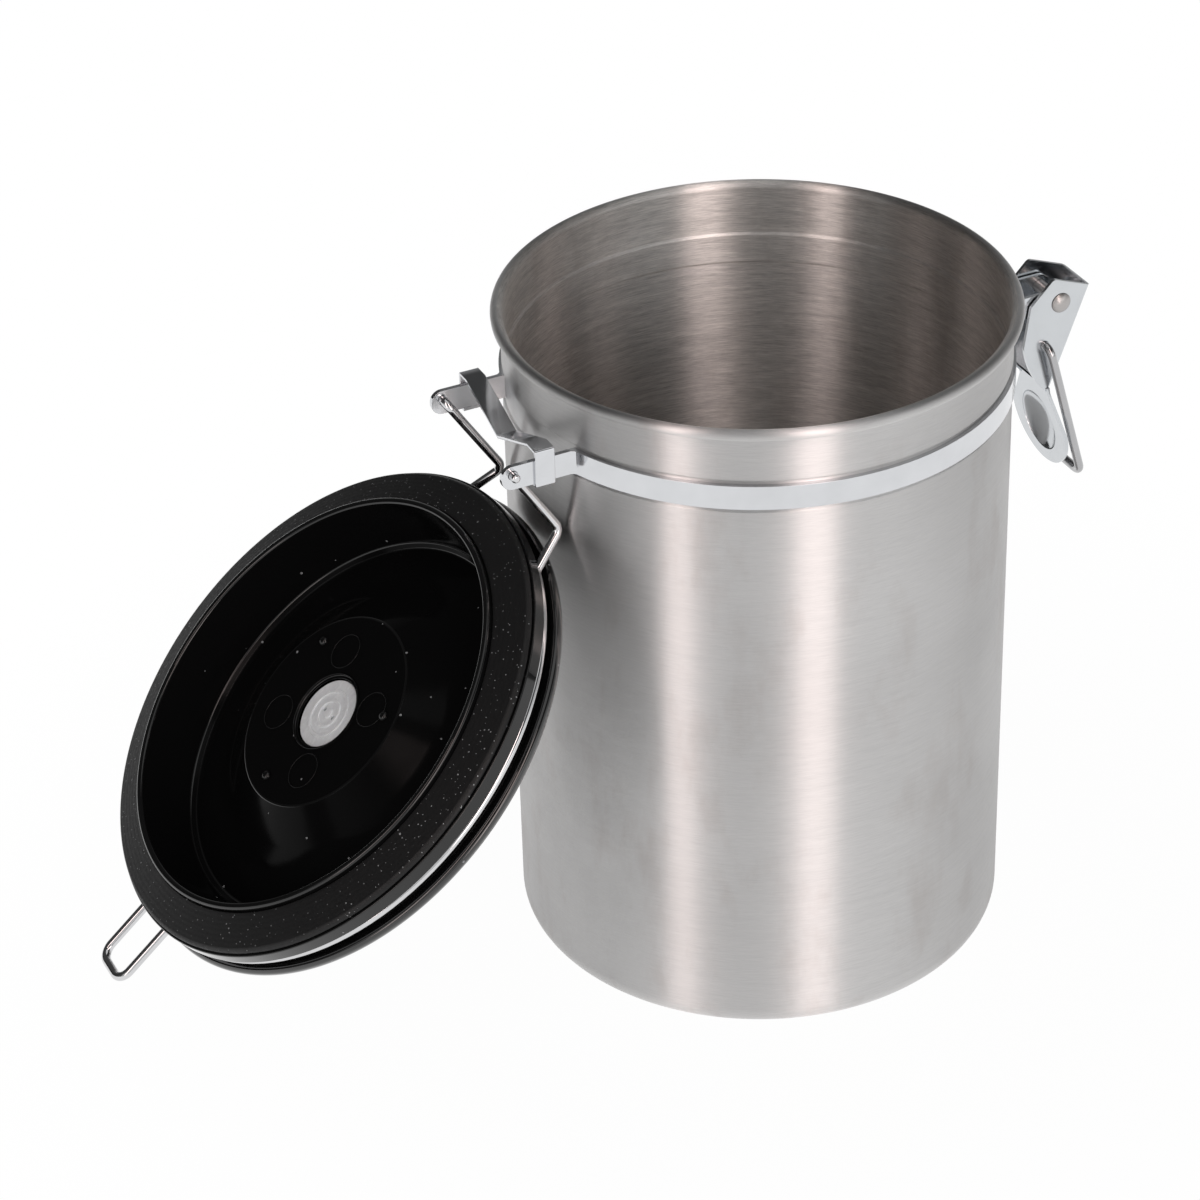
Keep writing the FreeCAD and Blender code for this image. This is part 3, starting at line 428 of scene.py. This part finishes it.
def gasket_rubber(colours):
    """Matt rubber with fine rings from its mould, and lint that clings to it."""
    material, tree, shader, coordinates = new_material("gasket_rubber")
    fine = place_group(tree, "Dust specks", {
        "Vector": coordinates, "Scale": 1350.0, "Amount": 0.5, "Size": 0.24})
    large = place_group(tree, "Dust specks", {
        "Vector": coordinates, "Scale": 420.0, "Amount": 0.16, "Size": 0.15})
    clumps = span(tree, noise(tree, coordinates, scale=45.0), 0.34, 0.66, 0.3, 1.0)
    lint = math_node(tree, "MULTIPLY", math_node(tree, "MAXIMUM", fine["Mask"], large["Mask"]), clumps)
    tone = blend_colour(tree, lint, tuple(colours.rubber), tuple(colours.dust))
    tree.links.new(tone, shader.inputs["Base Color"])
    grain = noise(tree, coordinates, scale=1400.0, detail=2.0)
    rough = span(tree, grain, 0.3, 0.7, 0.42, 0.56)
    rough = math_node(tree, "ADD", rough, math_node(tree, "MULTIPLY", lint, 0.3))
    tree.links.new(rough, shader.inputs["Roughness"])
    phase = math_node(tree, "MULTIPLY", reach_from_axis(tree, coordinates), RING_PHASE)
    rings = math_node(tree, "MULTIPLY", math_node(tree, "SINE", phase), 0.3)
    relief = math_node(tree, "ADD", math_node(tree, "ADD", rings, grain), lint)
    shader.inputs["Specular IOR Level"].default_value = 0.3
    bump(tree, shader, relief, strength=0.3, distance=0.06 * MM)
    return material


def milky_plastic(name, colour, depth):
    """Pale moulded plastic that lets a little light in."""
    material, tree, shader, coordinates = new_material(name)
    marks = place_group(tree, "Handling marks", {"Vector": coordinates, "Scale": 160.0})
    dull = [0.88 * part for part in colour]
    tree.links.new(blend_colour(tree, marks["Clouds"], tuple(colour), dull), shader.inputs["Base Color"])
    tree.links.new(span(tree, marks["Smears"], 0.0, 1.0, 0.26, 0.4), shader.inputs["Roughness"])
    shader.inputs["Subsurface Weight"].default_value = 0.35
    shader.inputs["Subsurface Radius"].default_value = (1.0, 1.0, 0.95)
    shader.inputs["Subsurface Scale"].default_value = depth
    bump(tree, shader, noise(tree, coordinates, scale=500.0, detail=2.0), strength=0.15, distance=0.05 * MM)
    return material


def finish_for(slot, name=None):
    """The material of a record slot, or of one of its variants, made once."""
    colours = bpy.context.scene.canister_colours
    bail = [BAIL_SHADE * part for part in colours.chrome]
    makers = {
        "brushed_steel": lambda: brushed_steel(colours),
        "chrome": lambda: bright_steel("bright_wire", colours.chrome, gloss=0.06, waviness=0.02 * MM),
        "satin_sheet": lambda: bright_steel("satin_sheet", colours.sheet, gloss=0.16, waviness=0.05 * MM),
        "band_sheet": lambda: bright_steel("band_sheet", colours.band, gloss=0.1, waviness=0.04 * MM),
        "bail_wire": lambda: bright_steel("bail_wire", bail, gloss=0.14, waviness=0.03 * MM),
        "rivet_head": lambda: bright_steel("rivet_head", colours.rivet, gloss=0.34, waviness=0.05 * MM),
        "black_plastic": lambda: black_plastic("black_plastic", colours, bend=1.45),
        "dish_plastic": lambda: black_plastic("dish_plastic", colours, bend=1.13),
        "gasket_rubber": lambda: gasket_rubber(colours),
        "valve_plastic": lambda: milky_plastic("valve_plastic", colours.valve, depth=0.8 * MM),
        "valve_silicone": lambda: milky_plastic("valve_silicone", colours.silicone, depth=0.5 * MM),
    }
    made = bpy.context.scene.get("canister_finishes") or {}
    key = name or slot
    if key not in made:
        made = dict(made)
        made[key] = makers[key]().name
        bpy.context.scene["canister_finishes"] = made
    return bpy.data.materials[made[key]]


# Pieces


SLOTS = {part["node"]: part["material_slot"] for part in frame["record"]["subparts"]}
BODIES = {node: body for body, nodes in frame["record"]["behaviour"]["bodies"].items() for node in nodes}
# Angle past which an edge is sharp, and tilt under which two faces are one
SHARP = math.radians(32)
FLAT = math.radians(0.4)
# Distances within which corners are one, and within which they lie on the seam
WELD = 0.0005 * MM
SEAM = 0.003 * MM
# Steps round a lathe, and corners past which a level of the CAD mesh is a full ring
TURN_STEPS = 240
RING_LEAST = 12
# Lean towards the axis past which a lathe's corner is on the inside
INWARDS = -0.25
# Segments of a rounded edge, and the widest of its faces against the edge's size
EDGE_SEGMENTS = 3
EDGE_FACE = 1.2
# Steps round a pin mark, and round the thin line that draws it
MARK_STEPS = 64
FLASH_STEPS = 8


def linked(name, data):
    """A new object in the scene."""
    thing = bpy.data.objects.new(name, data)
    bpy.context.scene.collection.objects.link(thing)
    return thing


def new_piece(name, mesh, body, material):
    """A finished mesh as a piece that rides on a body."""
    piece = linked(name, mesh)
    mesh.materials.clear()
    mesh.materials.append(material)
    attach(piece, body)
    return piece


def plain_mesh(thing):
    """The mesh that an object's modifiers give, with none of them left on it."""
    graph = bpy.context.evaluated_depsgraph_get()
    mesh = bpy.data.meshes.new_from_object(thing.evaluated_get(graph))
    bpy.data.objects.remove(thing)
    return mesh


def soften_edges(thing, edge):
    """Round the sharp edges of a work object."""
    rounds = thing.modifiers.new("Edges", "BEVEL")
    rounds.width = edge
    rounds.segments = EDGE_SEGMENTS
    rounds.limit_method = "ANGLE"
    rounds.angle_limit = SHARP
    rounds.harden_normals = True


def deepen_hollow(shape):
    """Press the thumb tab's hollow deeper, along the way the tab's outside faces."""
    sizes = bpy.context.scene.canister_sizes
    outwards = Vector((math.cos(sizes.tab_lean), 0.0, math.sin(sizes.tab_lean)))
    along = Vector((math.sin(sizes.tab_lean), 0.0, -math.cos(sizes.tab_lean)))
    for vertex in shape.verts:
        place = vertex.co - Vector(sizes.hollow_centre)
        down = 2 * along.dot(place) / sizes.hollow_length
        across = 2 * place.y / sizes.hollow_width
        share = down ** 2 + across ** 2
        if share < 1 and abs(outwards.dot(place)) < sizes.hollow_reach:
            vertex.co += outwards * sizes.hollow_extra * (1 - share)


def softened_copy(node, edge, reshape=None):
    """A copy of a CAD node's mesh, welded, with its sharp edges rounded."""
    mesh = frame["nodes"][node].data.copy()
    if mesh.has_custom_normals:
        mesh.attributes.remove(mesh.attributes["custom_normal"])
    shape = bmesh.new()
    shape.from_mesh(mesh)
    bmesh.ops.remove_doubles(shape, verts=shape.verts, dist=WELD)
    if reshape:
        reshape(shape)
    bmesh.ops.dissolve_limit(shape, angle_limit=FLAT, verts=shape.verts, edges=shape.edges)
    for face in shape.faces:
        face.smooth = True
    shape.to_mesh(mesh)
    shape.free()
    thing = linked(node + "_work", mesh)
    soften_edges(thing, edge)
    return plain_mesh(thing)


def shade_smooth(shape):
    """Shade a shape smooth, apart from its sharp edges."""
    for face in shape.faces:
        face.smooth = True
    for side in shape.edges:
        side.smooth = len(side.link_faces) != 2 or side.calc_face_angle() < SHARP


def closed_shape(node, closing):
    """A CAD node's mesh, welded and upright, and how many corners share each one's reach and height."""
    shape = bmesh.new()
    shape.from_mesh(frame["nodes"][node].data)
    shape.transform(closing)
    bmesh.ops.remove_doubles(shape, verts=shape.verts, dist=SEAM)
    rings = {}
    for vertex in shape.verts:
        key = round(vertex.co.xy.length / SEAM), round(vertex.co.z / SEAM)
        rings.setdefault(key, []).append(vertex)
    return shape, {vertex: len(ring) for ring in rings.values() for vertex in ring}


def seam_profile(node, closing):
    """The profile of a turned CAD node along its seam at +X, and whether it is closed."""
    shape, sharing = closed_shape(node, closing)
    seam = {vertex for vertex in shape.verts if abs(vertex.co.y) < SEAM and vertex.co.x > SEAM}
    beside = {}
    for vertex in seam:
        near = [edge.other_vert(vertex) for edge in vertex.link_edges]
        beside[vertex] = [other for other in near if other in seam]
    closed = all(len(others) == 2 for others in beside.values())
    left = {vertex for vertex in seam if sharing[vertex] > RING_LEAST}
    here = min(left, key=lambda vertex: (closed or len(beside[vertex]) != 1, vertex.co.x))
    profile = []
    while here:
        left.remove(here)
        profile.append((here.co.x, here.co.z))
        near = [vertex for vertex in beside[here] if vertex in left] or left
        here = min(near, key=lambda vertex: (vertex.co - here.co).length, default=None)
    shape.free()
    return profile, closed


def mark_edges(mesh, closing, edge):
    """Mark the narrow faces of a lathe's rounded edges, which catch the light as thin lines."""
    places = []
    for vertex in mesh.vertices:
        place = closing @ vertex.co
        places.append((place.xy.length, place.z))
    layer = mesh.attributes.new("edge", "FLOAT", "FACE")
    for face in mesh.polygons:
        reaches, heights = zip(*(places[corner] for corner in face.vertices))
        width = math.hypot(max(reaches) - min(reaches), max(heights) - min(heights))
        layer.data[face.index].value = len(face.vertices) == 4 and width < EDGE_FACE * edge


def turned_mesh(node, closing, edge):
    """A clean lathe of a turned CAD node's profile, with its sharp edges rounded."""
    profile, closed = seam_profile(node, closing)
    shape = bmesh.new()
    rings = []
    for step in range(TURN_STEPS):
        turn = 2 * math.pi * step / TURN_STEPS
        east, north = math.cos(turn), math.sin(turn)
        rings.append([shape.verts.new((out * east, out * north, up)) for out, up in profile])
    count = len(profile)
    for here, there in zip(rings, rings[1:] + rings[:1]):
        for low in range(count if closed else count - 1):
            high = (low + 1) % count
            shape.faces.new((here[low], there[low], there[high], here[high]))
    if not closed:
        shape.faces.new([ring[0] for ring in rings])
        shape.faces.new([ring[-1] for ring in rings])
    bmesh.ops.recalc_face_normals(shape, faces=shape.faces)
    shape.normal_update()
    shade_smooth(shape)
    inside = shape.verts.layers.float.new("inside")
    for vertex in shape.verts:
        outwards = vertex.co.xy.normalized().dot(vertex.normal.xy)
        vertex[inside] = outwards < INWARDS
    shape.transform(closing.inverted())
    mesh = bpy.data.meshes.new(node + "_turned")
    shape.to_mesh(mesh)
    shape.free()
    thing = linked(node + "_work", mesh)
    soften_edges(thing, edge)
    thing.modifiers.new("Flats", "WEIGHTED_NORMAL").keep_sharp = True
    mesh = plain_mesh(thing)
    mark_edges(mesh, closing, edge)
    return mesh


def stake_mesh(longest):
    """The heads of the cover's pins, cut out of its CAD mesh."""
    shape, sharing = closed_shape("lid_cover", LID_CLOSED)
    others = [face for face in shape.faces if max(sharing[vertex] for vertex in face.verts) > RING_LEAST
              or max(edge.calc_length() for edge in face.edges) > longest]
    bmesh.ops.delete(shape, geom=others, context="FACES")
    bmesh.ops.holes_fill(shape, edges=shape.edges)
    bmesh.ops.recalc_face_normals(shape, faces=shape.faces)
    shade_smooth(shape)
    shape.transform(LID_OPEN)
    mesh = bpy.data.meshes.new("lid_stakes")
    shape.to_mesh(mesh)
    shape.free()
    return mesh


def pin_mark_tree():
    """Thin flash rings, set round the lid's axis on its underside."""
    tree = bpy.data.node_groups.new("Pin marks", "GeometryNodeTree")
    for word, kind in (("Geometry", "Geometry"), ("Count", "Int"), ("Circle", "Float"), ("Mark", "Float"),
                       ("Flash", "Float"), ("Height", "Float"), ("Turn", "Float"), ("Material", "Material")):
        tree.interface.new_socket(word, in_out="INPUT", socket_type="NodeSocket" + kind)
    tree.interface.new_socket("Geometry", in_out="OUTPUT", socket_type="NodeSocketGeometry")
    given = tree.nodes.new("NodeGroupInput").outputs
    points = add(tree, "GeometryNodeMeshCircle", {"Vertices": given["Count"], "Radius": given["Circle"]})
    ring = add(tree, "GeometryNodeCurvePrimitiveCircle", {"Resolution": MARK_STEPS, "Radius": given["Mark"]})
    flash = add(tree, "GeometryNodeCurvePrimitiveCircle", {
        "Resolution": FLASH_STEPS, "Radius": given["Flash"]})
    line = add(tree, "GeometryNodeCurveToMesh", {
        "Curve": ring.outputs[0], "Profile Curve": flash.outputs[0]})
    marks = add(tree, "GeometryNodeInstanceOnPoints", {
        "Points": points.outputs[0], "Instance": line.outputs[0]})
    lift = add(tree, "ShaderNodeCombineXYZ", {"Z": given["Height"]})
    turn = add(tree, "ShaderNodeCombineXYZ", {"Z": given["Turn"]})
    turned = add(tree, "GeometryNodeTransform", {
        "Geometry": marks.outputs[0], "Translation": lift.outputs[0], "Rotation": turn.outputs[0]})
    real = add(tree, "GeometryNodeRealizeInstances", {"Geometry": turned.outputs[0]})
    painted = add(tree, "GeometryNodeSetMaterial", {
        "Geometry": real.outputs[0], "Material": given["Material"]})
    tree.links.new(painted.outputs[0], tree.nodes.new("NodeGroupOutput").inputs[0])
    return tree


def pin_mark_mesh(sizes, height, material):
    """The rings that the mould's pins leave round the valve, as a plain mesh in the open lid's place."""
    thing = linked("pin_marks_work", bpy.data.meshes.new("pin_marks_work"))
    marks = thing.modifiers.new("Marks", "NODES")
    marks.node_group = pin_mark_tree()
    chosen = {"Count": sizes.mark_count, "Circle": sizes.mark_circle, "Mark": sizes.mark_radius,
              "Flash": sizes.flash_radius, "Height": height, "Turn": sizes.mark_turn, "Material": material}
    for socket in marks.node_group.interface.items_tree:
        if socket.in_out == "INPUT" and socket.name in chosen:
            marks[socket.identifier] = chosen[socket.name]
    mesh = plain_mesh(thing)
    mesh.transform(LID_OPEN)
    return mesh


def dress(node, edge, finish=None, mesh=None):
    """A softened copy, or a mesh of its own, that stands for a CAD node, in its finish."""
    slot = SLOTS[node]
    mesh = mesh or softened_copy(node, edge)
    piece = new_piece(node + "_dressed", mesh, BODIES[node], finish_for(slot, finish))
    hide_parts(node)
    return piece


class CANISTER_OT_body(bpy.types.Operator):
    """Dress the drawn steel body"""
    bl_idname = "canister.body"
    bl_label = "Steel Body"

    def execute(self, context):
        edge = context.scene.canister_sizes.sheet_edge
        dress("canister_shell", edge, mesh=turned_mesh("canister_shell", Matrix(), edge))
        return {"FINISHED"}


class CANISTER_OT_neck(bpy.types.Operator):
    """Dress the neck band, its hinge clip and the latch bracket"""
    bl_idname = "canister.neck"
    bl_label = "Neck Fittings"

    def execute(self, context):
        edge = context.scene.canister_sizes.sheet_edge
        dress("neck_band", edge, "band_sheet")
        dress("hinge_clip", edge, "band_sheet")
        dress("latch_bracket", edge, "satin_sheet")
        dress("latch_rivet", edge, "rivet_head")
        return {"FINISHED"}


class CANISTER_OT_latch(bpy.types.Operator):
    """Dress the latch lever and its wire bail"""
    bl_idname = "canister.latch"
    bl_label = "Latch"

    def execute(self, context):
        edge = context.scene.canister_sizes.sheet_edge
        dress("latch_lever", edge, "satin_sheet", softened_copy("latch_lever", edge, deepen_hollow))
        dress("latch_bail", edge, "bail_wire")
        return {"FINISHED"}


class CANISTER_OT_lid(bpy.types.Operator):
    """Dress the lid mouldings, the gasket and the wire hoop"""
    bl_idname = "canister.lid"
    bl_label = "Lid"

    def execute(self, context):
        sizes = context.scene.canister_sizes
        for node, finish in (("lid_base", "dish_plastic"), ("lid_cover", "black_plastic")):
            dress(node, sizes.moulded_edge, finish, turned_mesh(node, LID_CLOSED, sizes.moulded_edge))
        slot = SLOTS["lid_base"]
        black = finish_for(slot)
        new_piece("lid_stakes", stake_mesh(sizes.stake_facet), "lid", black)
        disc = min(up for out, up in seam_profile("lid_base", LID_CLOSED)[0] if out < sizes.mark_circle)
        new_piece("pin_marks", pin_mark_mesh(sizes, disc, black), "lid", black)
        dress("valve_cap", sizes.moulded_edge)
        dress("lid_gasket", sizes.rubber_edge, mesh=turned_mesh("lid_gasket", LID_CLOSED, sizes.rubber_edge))
        dress("lid_hoop", sizes.sheet_edge)
        return {"FINISHED"}


class CANISTER_OT_valve(bpy.types.Operator):
    """Dress the gas valve's cup, disc and cage"""
    bl_idname = "canister.valve"
    bl_label = "Gas Valve"

    def execute(self, context):
        edge = context.scene.canister_sizes.valve_edge
        for node in ("valve_body", "valve_disc", "valve_cage"):
            dress(node, edge)
        return {"FINISHED"}


# Stage


# Brightness of the studio's walls by compass turn in degrees: dark behind the lid, bright beside the latch
WALLS = ((-180, 0.5), (-166, 0.7), (-140, 0.85), (-112, 0.8), (-80, 1.7), (-55, 1.6), (-30, 0.9), (-12, 0.38),
         (25, 0.24), (50, 0.6), (78, 0.35), (104, 0.06), (135, 0.03), (160, 0.08))
# Heights, as the upward part of a direction, over which the walls turn to ceiling and to skirting
CEILING_SPAN = 0.25, 0.6
SKIRTING_SPAN = 0.03, 0.14
# Distances in metres over which the floor turns plain white
GLOW_SPAN = 0.1, 0.24
# Each lamp's name, compass turn and lean in degrees, distance, width and height in metres
STRIP_LEFT = "strip_left", -150.5, 30, 1.4, 0.3, 1.7
STRIP_RIGHT = "strip_right", -91.5, 30, 1.4, 0.4, 1.7
TOP_BOX = "top_box", -60, 80, 1.6, 1.2, 1.2
# The photograph's camera, with its lens and sensor in millimetres
CAMERA_PLACE = Vector((-376.4, -713.9, 606.1)) * MM
CAMERA_HEADING = math.radians(64.933)
CAMERA_PITCH = math.radians(32.785)
CAMERA_ROLL = math.radians(-1.667)
CAMERA_LENS = 117.867
CAMERA_SENSOR = 36.0
CAMERA_NEAR = 10.0 * MM


def studio_world(studio):
    """Studio walls whose brightness changes by compass turn, under a dim ceiling."""
    world = bpy.data.worlds.new("studio")
    world.use_nodes = True
    tree = world.node_tree
    tree.nodes.clear()
    way = add(tree, "ShaderNodeTexCoord").outputs["Generated"]
    round_about = add(tree, "ShaderNodeTexGradient", {"Vector": way}, gradient_type="RADIAL").outputs["Fac"]
    ramp = add(tree, "ShaderNodeValToRGB", {"Fac": round_about})
    stops = ramp.color_ramp.elements
    while len(stops) < len(WALLS):
        stops.new(0.5)
    for stop, (turn, level) in zip(stops, WALLS):
        stop.position = turn / 360 + 0.5
        stop.color = (level, level, level, 1)
    height = add(tree, "ShaderNodeSeparateXYZ", {"Vector": way}).outputs["Z"]
    ceiling = span(tree, height, *CEILING_SPAN)
    tone = blend_colour(tree, ceiling, ramp.outputs["Color"], [studio.ceiling] * 3)
    skirting = span(tree, height, *SKIRTING_SPAN, studio.skirting, 1.0)
    strength = math_node(tree, "MULTIPLY", skirting, studio.walls)
    lit = add(tree, "ShaderNodeBackground", {"Color": tone, "Strength": strength})
    add(tree, "ShaderNodeOutputWorld", {"Surface": lit.outputs[0]})
    bpy.context.scene.world = world


def floor_finish(studio):
    """Pale floor, plain white to the eye and in metal, with the object's shadow kept near it."""
    material = bpy.data.materials.new("studio_floor")
    material.use_nodes = True
    tree = material.node_tree
    tree.nodes.clear()
    matt = add(tree, "ShaderNodeBsdfDiffuse", {"Color": (*studio.floor, 1)})
    white = add(tree, "ShaderNodeEmission", {"Color": (1, 1, 1, 1), "Strength": 1.0})
    path = add(tree, "ShaderNodeLightPath").outputs
    seen = math_node(tree, "MAXIMUM", path["Is Camera Ray"], path["Is Glossy Ray"])
    seen = math_node(tree, "MAXIMUM", seen, path["Is Transmission Ray"])
    place = add(tree, "ShaderNodeTexCoord").outputs["Object"]
    glow = span(tree, length_of(tree, place), *GLOW_SPAN, studio.floor_glow, 1.0)
    mixed = add(tree, "ShaderNodeMixShader", {
        0: math_node(tree, "MULTIPLY", seen, glow), 1: matt.outputs[0], 2: white.outputs[0]})
    add(tree, "ShaderNodeOutputMaterial", {"Surface": mixed.outputs[0]})
    return material


def soft_lamp(name, turn, lean, distance, width, height, power):
    """A rectangular lamp at a compass turn and lean, in degrees, that faces the canister."""
    low, high = CAD_BOX
    aim = (low + high) / 2
    around, up = math.radians(turn), math.radians(lean)
    way = Vector((math.cos(around) * math.cos(up), math.sin(around) * math.cos(up), math.sin(up)))
    data = bpy.data.lights.new(name, "AREA")
    data.shape = "RECTANGLE"
    data.size = width
    data.size_y = height
    data.energy = power
    lamp = linked(name, data)
    lamp.location = aim + way * distance
    lamp.rotation_mode = "QUATERNION"
    lamp.rotation_quaternion = (-way).to_track_quat("-Z", "Y")
    return lamp


def photo_camera():
    """The camera at the photograph's place, with the look given as heading, pitch and roll."""
    level = math.cos(CAMERA_PITCH)
    east, north = math.cos(CAMERA_HEADING), math.sin(CAMERA_HEADING)
    look = Vector((east * level, north * level, -math.sin(CAMERA_PITCH)))
    right = Vector((north, -east, 0))
    up = right.cross(look)
    turned_right = right * math.cos(CAMERA_ROLL) + up * math.sin(CAMERA_ROLL)
    turned_up = up * math.cos(CAMERA_ROLL) - right * math.sin(CAMERA_ROLL)
    data = bpy.data.cameras.new("photo_camera")
    data.lens = CAMERA_LENS
    data.sensor_width = CAMERA_SENSOR
    data.clip_start = CAMERA_NEAR
    camera = linked("photo_camera", data)
    turn = Matrix((turned_right, turned_up, -look)).transposed().to_4x4()
    camera.matrix_world = Matrix.Translation(CAMERA_PLACE) @ turn
    bpy.context.scene.camera = camera


class CANISTER_OT_stage(bpy.types.Operator):
    """Set the pale floor, the soft lamps and the camera"""
    bl_idname = "canister.stage"
    bl_label = "Stage"

    def execute(self, context):
        studio = context.scene.canister_studio
        context.scene.view_settings.view_transform = "Standard"
        studio_world(studio)
        mesh = bpy.data.meshes.new("studio_floor")
        reach = studio.floor_reach
        corners = [(-reach, -reach, 0), (reach, -reach, 0), (reach, reach, 0), (-reach, reach, 0)]
        mesh.from_pydata(corners, [], [(0, 1, 2, 3)])
        mesh.materials.append(floor_finish(studio))
        floor = linked("studio_floor", mesh)
        warm = context.scene.canister_colours.lamp
        soft_lamp(*STRIP_LEFT, studio.strip_power).data.color = warm
        soft_lamp(*STRIP_RIGHT, studio.strip_power * studio.right_share).data.color = warm
        soft_lamp(*TOP_BOX, studio.top_power)
        photo_camera()
        return {"FINISHED"}


class CANISTER_PT_panel(bpy.types.Panel):
    bl_label = "Coffee Canister"
    bl_idname = "CANISTER_PT_panel"
    bl_space_type = "VIEW_3D"
    bl_region_type = "UI"
    bl_category = "Canister"

    def draw(self, context):
        for operator in OPERATORS:
            self.layout.operator(operator.bl_idname)
        for name in PROPERTIES:
            box = self.layout.box()
            group = getattr(context.scene, name)
            for word in group.bl_rna.properties.keys():
                if word not in ("rna_type", "name"):
                    box.prop(group, word)


OPERATORS = (
    CANISTER_OT_body,
    CANISTER_OT_neck,
    CANISTER_OT_latch,
    CANISTER_OT_lid,
    CANISTER_OT_valve,
    CANISTER_OT_stage,
)
PROPERTIES = {
    "canister_sizes": CanisterSizes,
    "canister_colours": CanisterColours,
    "canister_studio": CanisterStudio,
}
CLASSES = (*PROPERTIES.values(), *OPERATORS, CANISTER_PT_panel)


def register():
    for kind in CLASSES:
        bpy.utils.register_class(kind)
    for name, group in PROPERTIES.items():
        setattr(bpy.types.Scene, name, bpy.props.PointerProperty(type=group))


def unregister():
    for name in PROPERTIES:
        delattr(bpy.types.Scene, name)
    for kind in reversed(CLASSES):
        bpy.utils.unregister_class(kind)


def main():
    register()
    bpy.ops.canister.body()
    bpy.ops.canister.neck()
    bpy.ops.canister.latch()
    bpy.ops.canister.lid()
    bpy.ops.canister.valve()
    bpy.ops.canister.stage()


if __name__ == "__main__":
    main()
